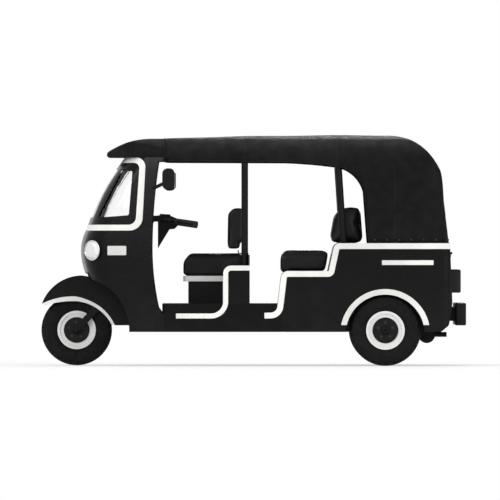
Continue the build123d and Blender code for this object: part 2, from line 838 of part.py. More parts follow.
# Driver's seat: boxed base, pressed tray, cushion and backrest
driver_seat_half = 290
seat_base_top_z = floor_z + 160
tray_top_z = seat_base_top_z + 40
cushion_top_z = tray_top_z + 158
seat_base_length = 250
seat_base_width = 2 * driver_seat_half - 20
with BuildPart() as driver_seat_base:
    with Locations((344, 0, (floor_z + seat_gap + seat_base_top_z) / 2)):
        Box(seat_base_length, seat_base_width, seat_base_top_z - floor_z - seat_gap)
        Box(
            seat_base_length - 2 * sheet,
            seat_base_width - 2 * sheet,
            400,
            mode=Mode.SUBTRACT,
        )
place(driver_seat_base.part, "driver_seat_base")
with BuildPart() as driver_seat_tray:
    tray_z = (seat_base_top_z + tray_top_z) / 2
    with Locations((280, 0, tray_z)):
        Box(450, 2 * driver_seat_half, tray_top_z - seat_base_top_z - 2 * seat_gap)
    fillet(driver_seat_tray.edges().filter_by(Axis.Z), 30)
place(driver_seat_tray.part, "driver_seat_tray")
cushion(
    475, cushion_top_z - tray_top_z, driver_seat_half, 285, tray_top_z, 80, "driver_seat_cushion"
)
seat_back_base_z, seat_back_top_z = cushion_top_z + 29, cushion_top_z + 339
with BuildSketch(Plane.XZ) as back_face:
    with BuildLine():
        FilletPolyline(
            (182, seat_back_base_z),
            (176, seat_back_top_z),
            (72, seat_back_top_z),
            (72, seat_back_base_z + 65),
            (104, seat_back_base_z + 51),
            (104, seat_back_base_z),
            radius=(60, 8, 5, 5),
        )
        Line((104, seat_back_base_z), (182, seat_back_base_z))
    make_face()
with BuildPart() as driver_seat_back:
    add(side_prism(back_face.sketch, driver_seat_half))
place(driver_seat_back.part, "driver_seat_back")
with BuildSketch(Plane.XZ) as strap_face:
    strap_x = partition_x + sheet + seat_gap
    strap_z = cushion_top_z + seat_gap
    strap_top_z = seat_back_base_z - seat_gap
    Polygon(
        (strap_x, partition_top_z),
        (strap_x + sheet, partition_top_z),
        (strap_x + sheet, strap_z),
        (112, strap_z),
        (112, strap_top_z),
        (104, strap_top_z),
        (104, strap_z + sheet),
        (strap_x, strap_z + sheet),
        align=None,
    )
with BuildPart() as seat_back_brackets:
    for y in (-180, 220):
        extrude(strap_face.sketch.moved(Location((0, y, 0))), amount=40, dir=(0, -1, 0))
place(seat_back_brackets.part, "seat_back_brackets")

# Passengers' bench: cushion on the tub's step and a leaning backrest
bench_half = body_half_width - 85
bench_top_z = bench_z + 144
bench_front_base_z = bench_z - 16
with BuildSketch(Plane.XZ) as bench_face:
    with BuildLine():
        FilletPolyline(
            (-180, bench_front_base_z),
            (-180, bench_top_z),
            (-553, bench_top_z),
            (-528, bench_z + seat_gap),
            (-262, bench_z + seat_gap),
            (-236, bench_front_base_z),
            radius=(55, 6, 4, 6),
        )
        Line((-236, bench_front_base_z), (-180, bench_front_base_z))
    make_face()
with BuildPart() as passenger_seat_cushion:
    add(side_prism(bench_face.sketch, bench_half))
place(passenger_seat_cushion.part, "passenger_seat_cushion")
bench_back_base_z, bench_back_top_z = belt_z + seat_gap, belt_z + 261
with BuildSketch(Plane.XZ) as bench_back_face:
    with BuildLine():
        FilletPolyline(
            (-588, bench_back_base_z),
            (-556, bench_back_base_z),
            (-589, belt_z + 189),
            (-640, bench_back_top_z),
            (-767, bench_back_top_z),
            (-786, bench_back_base_z),
            radius=(10, 40, 50, 8),
        )
        Line((-786, bench_back_base_z), (-588, bench_back_base_z))
    make_face()
with BuildPart() as passenger_seat_back:
    add(side_prism(bench_back_face.sketch, bench_half - 40))
place(passenger_seat_back.part, "passenger_seat_back")

# Dashboard shelf below the windscreen, open over the column
with BuildPart() as dashboard:
    add(cab_solid(lower_levels, wall + seat_gap, cab_rear_x))
    with Locations((1075, 0, 940)):
        Box(330, 1400, 14, mode=Mode.INTERSECT)
place(dashboard.part, "dashboard")

# Chassis: two side rails, three cross members and the raked head tube on its posts
rail_y, rail_width, rail_height = 270, 50, 88
rail_top_z = footwell_underside_z
rail_middle_z = rail_top_z - rail_height / 2
head_tube_start, head_tube_end = 112, 590
guard_swing_gap = 42
arm_y = wheel_y - 130
arm_length = 350
arm_tilt = radians(6)
arm_pivot_x = rear_axle_x + arm_length * cos(arm_tilt)
arm_pivot_z = axle_z + arm_length * sin(arm_tilt)
with BuildPart() as chassis_frame:
    rail_front, rail_rear = front_axle_x - guard_radius - guard_swing_gap, -1320
    for side in (-1, 1):
        with Locations(((rail_front + rail_rear) / 2, side * rail_y, rail_middle_z)):
            Box(rail_front - rail_rear, rail_width, rail_height)
    cross_members = (
        (rail_front - 25, cheek_y(rail_front) - wall - 2),
        (250, skirt_inner - seat_gap),
        (-430, skirt_inner - seat_gap),
    )
    for x, half in cross_members:
        with Locations((x, 0, rail_middle_z)):
            Box(50, 2 * half, 60)
    with Locations(Location((arm_pivot_x, 0, arm_pivot_z), (90, 0, 0))):
        Cylinder(20, 2 * (arm_y - 20 - seat_gap))
    with BuildSketch(steer_plane.offset(head_tube_start)):
        Circle(head_tube_radius)
    extrude(amount=head_tube_end - head_tube_start)
    for side in (-1, 1):
        with BuildSketch(Plane.XZ.offset(-side * 24 - 8)) as post_face:
            Polygon(
                (rail_front, 300), (780, 300), (780, 420), (870, 790), (906, 742), (850, 420), align=None
            )
        extrude(amount=16)
    with Locations((rail_front - 23, 0, 330)):
        Box(46, 64, 60)
    with BuildSketch(steer_plane.offset(head_tube_start - 5)):
        Circle(stem_radius + running_gap)
    extrude(amount=column_length, mode=Mode.SUBTRACT)
place(chassis_frame.part, "chassis_frame")

# Engine and gearbox as one block in the tail, with its drive flanges
engine_half = 170
with BuildPart() as engine:
    with Locations((-1200, 0, 430)):
        Box(260, 2 * engine_half, 280)
    with Locations((-1010, 0, 330)):
        Box(180, 240, 190)
    with Locations(Location((rear_axle_x, 0, axle_z + 20), (90, 0, 0))):
        Cylinder(70, 260)
    with Locations((-1180, 0, rail_middle_z)):
        Box(60, 2 * (rail_y - rail_width / 2 - seat_gap), 40)
place(engine.part, "engine")

# Rear suspension: trailing arm, stub axle and coil strut at each side
with BuildPart() as rear_suspension:
    for side in (-1, 1):
        with BuildSketch(Plane.XZ.offset(-side * arm_y - 20)):
            with Locations(((rear_axle_x + arm_pivot_x) / 2, (axle_z + arm_pivot_z) / 2)):
                SlotCenterToCenter(arm_length, 64, rotation=degrees(arm_tilt))
        extrude(amount=40)
        axle_inner, axle_outer = arm_y, wheel_y + hub_half_length + 2
        axle_middle = (rear_axle_x, side * (axle_inner + axle_outer) / 2, axle_z)
        with Locations(Location(axle_middle, (90, 0, 0))):
            Cylinder(axle_radius, axle_outer - axle_inner)
        drum_inner, drum_outer = arm_y + 20, wheel_y - hub_half_length + 4
        drum_middle = (rear_axle_x, side * (drum_inner + drum_outer) / 2, axle_z)
        with Locations(Location(drum_middle, (90, 0, 0))):
            Cylinder(70, drum_outer - drum_inner)
        with Locations((spring_x, side * arm_y, (axle_z + 30 + strut_top_z) / 2)):
            Cylinder(38, strut_top_z - axle_z - 30)
place(rear_suspension.part, "rear_suspension")

# Silencer below the tail, carried under the engine
with BuildPart() as silencer:
    with Locations(Location((-1255, 0, 222), (90, 0, 0))):
        Cylinder(60, 420)
    with Locations(Location((-1330, -260, 222), (0, 90, 0))):
        Cylinder(18, 150)
    with Locations(Location((-1256, -235, 222), (90, 0, 0))):
        Cylinder(18, 60)
    for y in (-120, 120):
        with Locations((-1255, y, 279.7)):
            Box(40, 6, 20)
place(silencer.part, "silencer")

# Rear bumper bar on two brackets, and the tail lamps above it
with BuildPart() as rear_bumper:
    with Locations((bumper_x + 40, 0, 373)):
        Box(80, 2 * (body_half_width - 55), 162)
    fillet(rear_bumper.edges().filter_by(Axis.Z), 30)
    fillet(rear_bumper.edges().group_by(Axis.X)[0], 10)
    for side in (-1, 1):
        with Locations((-1440, side * 420, 373)):
            Box(40, 60, 100)
    add(side_prism(tub_face.sketch), mode=Mode.SUBTRACT)
    with Locations((bumper_x + 30, 0, 373)):
        Cylinder(tow_hole_radius, 200, mode=Mode.SUBTRACT)
place(rear_bumper.part, "rear_bumper")
with BuildPart() as tail_lamps:
    for side in (-1, 1):
        with Locations((tail_x - tail_lamp_depth / 2, side * (body_half_width - 155), 611)):
            Box(tail_lamp_depth, tail_lamp_width, tail_lamp_height)
    fillet(tail_lamps.edges().group_by(Axis.X)[0], 14)
    add(side_prism(tub_face.sketch), mode=Mode.SUBTRACT)
place(tail_lamps.part, "tail_lamps")

# Headlamps: bowl and bezel, with a domed lens in front
with BuildPart() as headlamps:
    for plane in lamp_planes:
        with BuildSketch(plane.offset(-60)):
            Circle(lamp_radius)
        extrude(amount=76)
        with BuildSketch(plane.offset(4)):
            Circle(lens_radius)
        extrude(amount=20, mode=Mode.SUBTRACT)
place(headlamps.part, "headlamps")
with BuildPart() as headlamp_lenses:
    for plane in lamp_planes:
        with BuildSketch(plane.offset(4)):
            Circle(lens_radius - 0.2)
        extrude(amount=12)
        with BuildSketch(plane.offset(16)):
            Circle(lens_radius - 0.2)
        extrude(amount=20, taper=45)
place(headlamp_lenses.part, "headlamp_lenses")
with BuildPart() as indicators:
    for plane in indicator_planes:
        with BuildSketch(plane.offset(-14)):
            RectangleRounded(indicator_length, indicator_height, 6)
        extrude(amount=indicator_depth + 14)
place(indicators.part, "indicators")

# Mirrors on bent stalks from the screen pillars
with BuildPart() as mirrors:
    mirror_y, mirror_z = body_half_width + 55, door_head_z - 130
    for side in (-1, 1):
        with Locations((609, side * mirror_y, mirror_z)):
            Box(91, 110, 156)
    fillet(mirrors.edges().filter_by(Axis.Y), 40)
    fillet(mirrors.edges().group_by(Axis.Y)[0], 12)
    fillet(mirrors.edges().group_by(Axis.Y)[-1], 12)
    for side in (-1, 1):
        foot = Vector(724, side * (cheek_y(724) - 20), mirror_z - 65)
        tip = Vector(640, side * (mirror_y - 10), mirror_z - 23)
        with BuildSketch(Plane(origin=foot, z_dir=tip - foot)):
            Circle(8)
        extrude(amount=(tip - foot).length)
    add(cab_solid(upper_levels, -seat_gap), mode=Mode.SUBTRACT)
place(mirrors.part, "mirrors")

# Steering: fork with its stem, turning in the head tube
fork_arm_y, fork_arm_thickness, fork_arm_width = 84, 14, 48
with BuildPart() as fork:
    for side in (-1, 1):
        with BuildSketch(Plane.XZ.offset(-side * fork_arm_y - fork_arm_thickness / 2)):
            middle = (crown + front_hub) / 2
            slope = degrees(atan2(crown.Z - front_hub.Z, crown.X - front_hub.X))
            with Locations((middle.X, middle.Z)):
                SlotCenterToCenter((crown - front_hub).length, fork_arm_width, rotation=slope)
        extrude(amount=fork_arm_thickness)
    with BuildSketch(steer_plane.offset(-22)):
        Rectangle(50, 2 * fork_arm_y + fork_arm_thickness)
    extrude(amount=44)
    with BuildSketch(steer_plane):
        Circle(stem_radius)
    extrude(amount=column_length - 40)
    with Locations(Location(tuple(front_hub), (90, 0, 0))):
        Cylinder(axle_radius, 2 * fork_arm_y + 50)
        for side in (-1, 1):
            with Locations((0, 0, side * (fork_arm_y + fork_arm_thickness / 2 + 7))):
                Cylinder(17, 14)
            with Locations((0, 0, side * (hub_half_length + 14.5 + fork_arm_y) / 2)):
                Cylinder(16, fork_arm_y - hub_half_length - 14.5)
    with Locations(Location(tuple(crown), (90, 0, 0))):
        Cylinder(12, 2 * (guard_half_width - guard_sheet - seat_gap))
place(fork.part, "fork")

# Mudguard: crowned sheet with deep skirts, turning with the wheel
with BuildSketch(Plane.XZ) as guard_face:
    with BuildLine():
        tail = (front_axle_x - guard_radius + 1.5, axle_z + 34)
        ThreePointArc((1529, 447), (1419, 592), (1250, axle_z + guard_radius - 1))
        ThreePointArc(
            (1250, axle_z + guard_radius - 1),
            (front_axle_x - guard_radius * sin(radians(50)), axle_z + guard_radius * cos(radians(50))),
            tail,
        )
        Line(tail, (1000, tail[1]))
        ThreePointArc((1000, tail[1]), (1105, 424), (1290, 500))
        ThreePointArc((1290, 500), (1420, 486), (1529, 447))
    make_face()
with BuildSketch(Plane.XZ) as guard_inside_face:
    add(guard_face.sketch_local)
    offset(amount=-guard_sheet)
with BuildPart() as front_mudguard:
    add(side_prism(guard_face.sketch, guard_half_width))
    add(side_prism(guard_inside_face.sketch, guard_half_width - guard_sheet), mode=Mode.SUBTRACT)
    with BuildSketch(Plane.XZ) as guard_belly:
        with BuildLine():
            ThreePointArc((980, 200), (1098, 419 + 12), (1290, 506))
            ThreePointArc((1290, 506), (1420, 492), (1520, 448))
            Line((1520, 448), (1600, 200))
            Line((1600, 200), (980, 200))
        make_face()
    add(side_prism(guard_belly.sketch, guard_half_width - guard_sheet), mode=Mode.SUBTRACT)
    with BuildSketch(steer_plane):
        Circle(stem_radius + 6)
    extrude(amount=300, mode=Mode.SUBTRACT)
place(front_mudguard.part, "front_mudguard")

# White lip along both lower edges of the mudguard
with BuildSketch(Plane.XZ) as lip_face:
    with BuildLine():
        ThreePointArc((990, 300), (1105, 424), (1290, 500))
        ThreePointArc((1290, 500), (1420, 486), (1529, 447))
        Line((1529, 447), (1500, 436))
        ThreePointArc((1500, 436), (1400, 458), (1290, 465))
        ThreePointArc((1290, 465), (1118, 404), (1022, 290))
        Line((1022, 290), (990, 300))
    make_face()
with BuildPart() as mudguard_lip:
    for y in (guard_half_width, -guard_half_width + guard_sheet):
        extrude(lip_face.sketch.moved(Location((0, y, 0))), amount=guard_sheet, dir=(0, -1, 0))
    add(front_mudguard.part, mode=Mode.SUBTRACT)
place(mudguard_lip.part, "mudguard_lip")

# Handlebar head with its instrument hood, the bar and the two grips
head_start = column_length - 40 + seat_gap
with BuildSketch(Plane.XZ) as head_face:
    with BuildLine():
        FilletPolyline(
            (690, 846),
            (690, 1087),
            (592, 1081),
            (549, 1062),
            (545, 1012),
            (569, 988),
            (606, 984),
            radius=(4, 12, 14, 14, 14),
        )
        Line((606, 984), (690, 846))
    make_face()
with BuildPart() as steering_head:
    add(side_prism(head_face.sketch, 62))
    with Locations((712, 0, 1062)):
        Box(60, 60, 44)
    with BuildSketch(steer_plane.offset(head_start)):
        Rectangle(200, 200)
    extrude(amount=-400, mode=Mode.SUBTRACT)
    add(side_prism(head_face.sketch, 62))
    with BuildSketch(steer_plane.offset(head_start)):
        Circle(30)
    extrude(amount=36)
place(steering_head.part, "steering_head")
bar_points = ((640, 63, 1052), (636, 170, 1052), (590, 236, 1046), (549, 254, 1038))
grip_start, grip_end = Vector(549, 254, 1038), Vector(412, 300, 1018)
with BuildPart() as handlebar:
    for side in (-1, 1):
        points = [(x, side * y, z) for x, y, z in bar_points]
        add(side_tube(points, 45, 11, (Vector(*points[1]) - Vector(*points[0])).normalized()))
        start = Vector(grip_start.X, side * grip_start.Y, grip_start.Z)
        end = Vector(grip_end.X, side * grip_end.Y, grip_end.Z)
        with BuildSketch(Plane(origin=start, z_dir=end - start)):
            Circle(11)
        extrude(amount=(end - start).length - 4)
place(handlebar.part, "handlebar")
with BuildPart() as grips:
    for side in (-1, 1):
        start = Vector(grip_start.X, side * grip_start.Y, grip_start.Z)
        end = Vector(grip_end.X, side * grip_end.Y, grip_end.Z)
        with BuildSketch(Plane(origin=start, z_dir=end - start)):
            Circle(25)
            Circle(11.2, mode=Mode.SUBTRACT)
        extrude(amount=(end - start).length - 3.8)
        with BuildSketch(Plane(origin=start, z_dir=end - start).offset((end - start).length - 3.8)):
            Circle(25)
        extrude(amount=8)
place(grips.part, "grips")

# Wheels: tyre and dished steel rim with its hub, alike at all three places
with BuildPart() as tyre_solid:
    with BuildSketch(Plane.XY):
        half = tyre_width / 2
        bead_radius = rim_seat_radius + seat_gap
        with BuildLine():
            for side in (-1, 1):
                FilletPolyline(
                    (side * 40, bead_radius),
                    (side * 40, rim_radius + 4),
                    (side * half, 190),
                    (side * (half - 10), tyre_radius - 16),
                    (0, tyre_radius),
                    radius=(3, 40, 18),
                )
            Line((-40, bead_radius), (40, bead_radius))
        make_face()
    revolve(axis=Axis.X)
with BuildPart() as rim_solid:
    with BuildSketch(Plane.XY):
        with BuildLine():
            half = rim_width / 2
            bore = axle_radius + running_gap
            flange, well = half - 5, rim_seat_radius - 6
            hub, nose = hub_half_length, hub_half_length + 14
            Polyline(
                (half, rim_radius),
                (flange, rim_radius),
                (flange, rim_seat_radius),
                (-flange, rim_seat_radius),
                (-flange, rim_radius),
                (-half, rim_radius),
                (-half, well),
                (half - 20, well),
                (half - 20, hub_radius),
                (8 - hub, hub_radius),
                (8 - hub, bore),
                (nose, bore),
                (nose, 24),
                (hub, 30),
                (hub, hub_radius - 6),
                (hub - 6, hub_radius),
                (half - 14, hub_radius),
                (half - 14, well),
                (half, well),
                close=True,
            )
        make_face()
    revolve(axis=Axis.X)
wheel_places = (
    ("front", front_axle_x, 0, 1),
    ("rear_left", rear_axle_x, wheel_y, 1),
    ("rear_right", rear_axle_x, -wheel_y, -1),
)
for name, x, y, facing in wheel_places:
    turned = Location((x, y, axle_z), (0, 0, 90 * facing))
    with BuildPart() as tyre:
        add(tyre_solid.part.moved(turned))
    place(tyre.part, f"{name}_tyre")
    with BuildPart() as rim:
        add(rim_solid.part.moved(turned))
    place(rim.part, f"{name}_rim")
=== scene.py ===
import math

import bmesh
import bpy
from mathutils import Matrix, Vector
from mathutils.bvhtree import BVHTree


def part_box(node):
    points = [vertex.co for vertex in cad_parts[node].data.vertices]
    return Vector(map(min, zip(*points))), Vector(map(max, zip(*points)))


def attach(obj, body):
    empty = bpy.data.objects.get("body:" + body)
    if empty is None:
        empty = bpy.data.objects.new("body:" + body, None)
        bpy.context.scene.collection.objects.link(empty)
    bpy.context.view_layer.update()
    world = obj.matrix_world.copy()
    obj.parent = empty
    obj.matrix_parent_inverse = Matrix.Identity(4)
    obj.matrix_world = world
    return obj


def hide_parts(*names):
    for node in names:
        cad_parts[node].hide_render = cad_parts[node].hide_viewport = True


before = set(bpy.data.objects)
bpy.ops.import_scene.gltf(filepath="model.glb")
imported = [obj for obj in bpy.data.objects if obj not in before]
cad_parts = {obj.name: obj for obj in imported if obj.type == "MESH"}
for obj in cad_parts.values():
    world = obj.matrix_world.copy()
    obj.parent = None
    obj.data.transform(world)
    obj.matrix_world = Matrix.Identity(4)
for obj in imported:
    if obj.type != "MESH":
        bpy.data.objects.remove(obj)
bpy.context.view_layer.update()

# Auto rickshaw: finishes, upholstery, hood cloth, tyres, lamps and small fittings
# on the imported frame. Metres, +X forward, +Y to the vehicle's left, +Z up.

scene = bpy.context.scene
scene.view_settings.view_transform = "Standard"

axle_height = 0.256
rear_axle_x = -0.952
rear_wheel_y = 0.56
front_hub = Vector((1.278, 0.0, axle_height))
# Each wheel's hub and the sides on which its nuts show
wheels = {
    "front": (front_hub, (1, -1)),
    "rear_left": (Vector((rear_axle_x, rear_wheel_y, axle_height)), (1,)),
    "rear_right": (Vector((rear_axle_x, -rear_wheel_y, axle_height)), (-1,)),
}
# The hood's front edge, its two inner hoops and its back
hoops_x = (0.63, 0.061, -0.604, -1.34)
full_turn = 2 * math.pi


def linked(name, data):
    """A named object in the scene."""
    thing = bpy.data.objects.new(name, data)
    scene.collection.objects.link(thing)
    return thing


# Camera at the drawing's side view, far away with a long lens
camera = linked("camera", bpy.data.cameras.new("camera"))
camera.data.lens = 1000
camera.data.sensor_width = 36
camera.data.clip_end = 400
camera.location = (0.023, 100.6, 0.835)
camera.rotation_euler = (math.radians(90), 0, math.radians(180))
scene.camera = camera


class Finish:
    """One material, with short calls for the nodes that the finishes use."""

    def __init__(self, name, colour, roughness, metallic=0.0):
        self.material = bpy.data.materials.new(name)
        self.material.use_nodes = True
        self.tree = self.material.node_tree
        self.shader = self.tree.nodes["Principled BSDF"]
        self.place = self.add("ShaderNodeTexCoord").outputs["Object"]
        self.set("Base Color", colour)
        self.set("Roughness", roughness)
        self.set("Metallic", metallic)

    def add(self, kind, **settings):
        node = self.tree.nodes.new(kind)
        for key, value in settings.items():
            setattr(node, key, value)
        return node

    def feed(self, socket, value):
        if isinstance(value, bpy.types.NodeSocket):
            self.tree.links.new(value, socket)
        elif isinstance(value, tuple) and len(value) == 3 and socket.type == "RGBA":
            socket.default_value = (*value, 1)
        else:
            socket.default_value = value

    def set(self, key, value):
        self.feed(self.shader.inputs[key], value)

    def colour(self, value):
        self.set("Base Color", value)

    def rough(self, value):
        self.set("Roughness", value)

    def shape(self, value):
        self.set("Normal", value)

    def math(self, operation, a, b=0.0, clamp=False):
        node = self.add("ShaderNodeMath", operation=operation, use_clamp=clamp)
        self.feed(node.inputs[0], a)
        self.feed(node.inputs[1], b)
        return node.outputs[0]

    def highest(self, values):
        """The largest of several values."""
        top = values[0]
        for value in values[1:]:
            top = self.math("MAXIMUM", top, value)
        return top

    def wave(self, value, pitch):
        """A sine along one coordinate."""
        return self.math("SINE", self.math("MULTIPLY", value, full_turn / pitch))

    def dashes(self, value, pitch):
        """Stitches along a seam: on and off along one coordinate."""
        phase = self.math("FRACT", self.math("DIVIDE", value, pitch))
        return self.math("LESS_THAN", phase, 0.62)

    def band(self, value, at, half):
        """One inside a narrow band round a coordinate, fading at its edges."""
        away = self.math("ABSOLUTE", self.math("SUBTRACT", value, at))
        return self.steps(away, half, half * 0.4)

    def span(self, a, b):
        """The distance that two legs at right angles make."""
        squares = [self.math("MULTIPLY", leg, leg) for leg in (a, b)]
        return self.math("SQRT", self.math("ADD", *squares))

    def steps(self, value, low, high, out_low=0.0, out_high=1.0, smooth=True):
        """One range mapped to another, eased at both ends unless told otherwise."""
        node = self.add("ShaderNodeMapRange")
        node.interpolation_type = "SMOOTHSTEP" if smooth else "LINEAR"
        self.feed(node.inputs["Value"], value)
        numbers = {"From Min": low, "From Max": high, "To Min": out_low, "To Max": out_high}
        for key, number in numbers.items():
            node.inputs[key].default_value = number
        return node.outputs["Result"]

    def blend(self, share, first, second):
        """A colour between two, by a share from 0 to 1."""
        node = self.add("ShaderNodeMix", data_type="RGBA")
        factor, colour_a, colour_b, result = 0, 6, 7, 2
        self.feed(node.inputs[factor], share)
        self.feed(node.inputs[colour_a], first)
        self.feed(node.inputs[colour_b], second)
        return node.outputs[result]

    def axis(self, which, of=None):
        node = self.add("ShaderNodeSeparateXYZ")
        self.feed(node.inputs[0], of or self.place)
        return node.outputs[which]

    def stretched(self, scale):
        """The object's coordinates, scaled along each axis."""
        if scale is None:
            return self.place
        node = self.add("ShaderNodeMapping")
        self.feed(node.inputs["Vector"], self.place)
        node.inputs["Scale"].default_value = scale
        return node.outputs[0]

    def noise(self, scale, detail=3.0, roughness=0.5, stretch=None):
        node = self.add("ShaderNodeTexNoise")
        self.feed(node.inputs["Vector"], self.stretched(stretch))
        node.inputs["Scale"].default_value = scale
        node.inputs["Detail"].default_value = detail
        node.inputs["Roughness"].default_value = roughness
        return node.outputs["Fac"]

    def cells(self, scale):
        """Distance to the nearest of many scattered points."""
        node = self.add("ShaderNodeTexVoronoi", feature="F1")
        self.feed(node.inputs["Vector"], self.place)
        node.inputs["Scale"].default_value = scale
        return node.outputs["Distance"]

    def normal(self):
        return self.add("ShaderNodeNewGeometry").outputs["Normal"]

    def rounded(self, radius=0.003):
        """Normals that ease each sharp edge over a radius."""
        bevel = self.add("ShaderNodeBevel", samples=4)
        bevel.inputs["Radius"].default_value = radius
        return bevel.outputs[0]

    def edge(self, rounded):
        """How near an outer or inner edge a point is, by how far its normal is eased."""
        dot = self.add("ShaderNodeVectorMath", operation="DOT_PRODUCT")
        self.feed(dot.inputs[0], rounded)
        self.feed(dot.inputs[1], self.normal())
        return self.steps(dot.outputs["Value"], 0.99, 0.8)

    def bump(self, height, distance, under=None, strength=1.0):
        node = self.add("ShaderNodeBump")
        node.inputs["Distance"].default_value = distance
        node.inputs["Strength"].default_value = strength
        self.feed(node.inputs["Height"], height)
        if under is not None:
            self.feed(node.inputs["Normal"], under)
        return node.outputs[0]

    def slant(self):
        """How much clear glass mirrors, by the slant at which it is seen."""
        node = self.add("ShaderNodeFresnel")
        node.inputs["IOR"].default_value = 1.45
        return node.outputs[0]


road_dust = (0.105, 0.095, 0.082)
soft_black = (0.008, 0.008, 0.0085)
seat_black = (0.006, 0.006, 0.0063)


def toned(colour, factor):
    return tuple(part * factor for part in colour)


def paint(name, colour, worn, roughness=0.26, coat=0.03, dust=0.06, shine=0.09):
    """Sprayed enamel: slight orange peel, fine wear on edges, dust low down."""
    f = Finish(name, colour, roughness)
    f.set("Specular IOR Level", shine)
    f.set("Coat Weight", coat)
    f.set("Coat Roughness", 0.06)
    patches = f.steps(f.noise(2.2, 4), 0.3, 0.7)
    shade = f.blend(patches, colour, toned(colour, 1.35))
    rounded = f.rounded()
    chips = f.math("MULTIPLY", f.edge(rounded), f.steps(f.noise(38, 5), 0.48, 0.62))
    shade = f.blend(f.math("MULTIPLY", chips, 0.55), shade, worn)
    splashed_from, splashed_to = 0.75, 0.22
    low = f.steps(f.axis(2), splashed_from, splashed_to)
    film = f.math("MULTIPLY", low, f.steps(f.noise(9, 5, 0.6), 0.35, 0.8, 0.2, 1.0))
    film = f.math("MULTIPLY", film, dust)
    f.colour(f.blend(film, shade, road_dust))
    upright = (1, 1, 5)
    scuffs = f.noise(30, 4, 0.6, upright)
    scuffs = f.steps(scuffs, 0.3, 0.75, roughness * 0.85, roughness * 1.4)
    f.rough(f.math("ADD", f.math("MULTIPLY", film, 1.8), scuffs, True))
    orange_peel = 0.00008
    f.shape(f.bump(f.noise(260, 2), orange_peel, rounded))
    return f.material


def textured(name, colour, roughness, grain_scale, grain_depth, worn=None, metallic=0.0):
    """Moulded plastic, cast or powder-coated metal with a fine grain."""
    f = Finish(name, colour, roughness, metallic)
    f.set("Specular IOR Level", 0.12)
    rounded = f.rounded(0.002)
    tone = f.blend(f.noise(6, 4), toned(colour, 0.8), toned(colour, 1.3))
    if worn:
        rub = f.math("MULTIPLY", f.edge(rounded), f.steps(f.noise(60, 4), 0.42, 0.6, 0.0, 0.7))
        tone = f.blend(rub, tone, worn)
    f.colour(tone)
    f.rough(f.steps(f.noise(24, 5), 0.3, 0.7, roughness * 0.85, min(1.0, roughness * 1.2)))
    f.shape(f.bump(f.noise(grain_scale, 4, 0.6), grain_depth, rounded))
    return f.material


def hood_cloth():
    """Rubberised black canvas with a fine weave, seams over the hoops and stitches."""
    f = Finish("hood_canvas", (0.009, 0.009, 0.0095), 0.72)
    f.set("Specular IOR Level", 0.1)
    f.set("Sheen Weight", 0.02)
    f.set("Sheen Roughness", 0.5)
    x, y, z = f.axis(0), f.axis(1), f.axis(2)
    thread_pitch = 0.0024
    warp = f.wave(f.math("ADD", x, f.math("MULTIPLY", y, 0.3)), thread_pitch)
    weft = f.wave(f.math("ADD", y, z), thread_pitch)
    faded = f.steps(f.noise(1.6, 5, 0.6), 0.35, 0.75)
    shade = f.blend(faded, (0.005, 0.005, 0.0052), (0.010, 0.010, 0.0104))
    up = f.steps(f.axis(2, f.normal()), 0.4, 1.0)
    sunned = f.math("MULTIPLY", up, f.steps(f.noise(5, 4), 0.3, 0.8, 0.1, 0.45))
    shade = f.blend(sunned, shade, (0.018, 0.0175, 0.017))
    roof_seam_y, back_seam_x = 0.44, -1.02
    seam_half, row_offset, row_half, stitch_pitch = 0.013, 0.007, 0.0016, 0.007
    lines = (
        (x, hoops_x[1], y), (x, hoops_x[2], y),
        (y, roof_seam_y, x), (y, -roof_seam_y, x),
        (x, back_seam_x, z),
    )
    seams, stitches = [], []
    for value, at, along in lines:
        seams.append(f.band(value, at, seam_half))
        rows = [f.band(value, at + side * row_offset, row_half) for side in (1, -1)]
        stitches.append(f.math("MULTIPLY", f.math("ADD", *rows), f.dashes(along, stitch_pitch)))
    stitch = f.highest(stitches)
    f.colour(f.blend(f.math("MULTIPLY", stitch, 0.8), shade, (0.03, 0.029, 0.028)))
    f.rough(f.steps(f.noise(14, 4), 0.3, 0.7, 0.6, 0.82))
    base = f.bump(f.math("MULTIPLY", warp, weft), 0.00025, strength=0.6)
    base = f.bump(f.noise(11, 5, 0.55), 0.004, base, 0.35)
    base = f.bump(f.highest(seams), 0.0022, base)
    f.shape(f.bump(stitch, 0.0008, base))
    return f.material


def vinyl(name, seam_z):
    """Grained seat vinyl with creases, and a piped seam at one height."""
    f = Finish(name, seat_black, 0.42)
    f.set("Specular IOR Level", 0.15)
    rubbed = f.steps(f.noise(5, 4), 0.35, 0.75)
    up = f.steps(f.axis(2, f.normal()), 0.2, 1.0)
    shade = f.blend(rubbed, seat_black, toned(seat_black, 1.5))
    f.colour(f.blend(f.math("MULTIPLY", up, 0.4), shade, (0.012, 0.0118, 0.0115)))
    f.rough(f.steps(rubbed, 0.0, 1.0, 0.5, 0.34))
    base = f.bump(f.cells(420), 0.0005, strength=0.7)
    base = f.bump(f.noise(16, 6, 0.62), 0.003, base, 0.35)
    if seam_z is not None:
        z = f.axis(2)
        seam_half, row_drop, row_half, stitch_pitch = 0.006, 0.011, 0.0016, 0.008
        base = f.bump(f.band(z, seam_z, seam_half), 0.004, base)
        stitches = f.dashes(f.math("ADD", f.axis(0), f.axis(1)), stitch_pitch)
        rows = f.math("MULTIPLY", f.band(z, seam_z - row_drop, row_half), stitches)
        base = f.bump(rows, -0.001, base)
    f.shape(base)
    return f.material


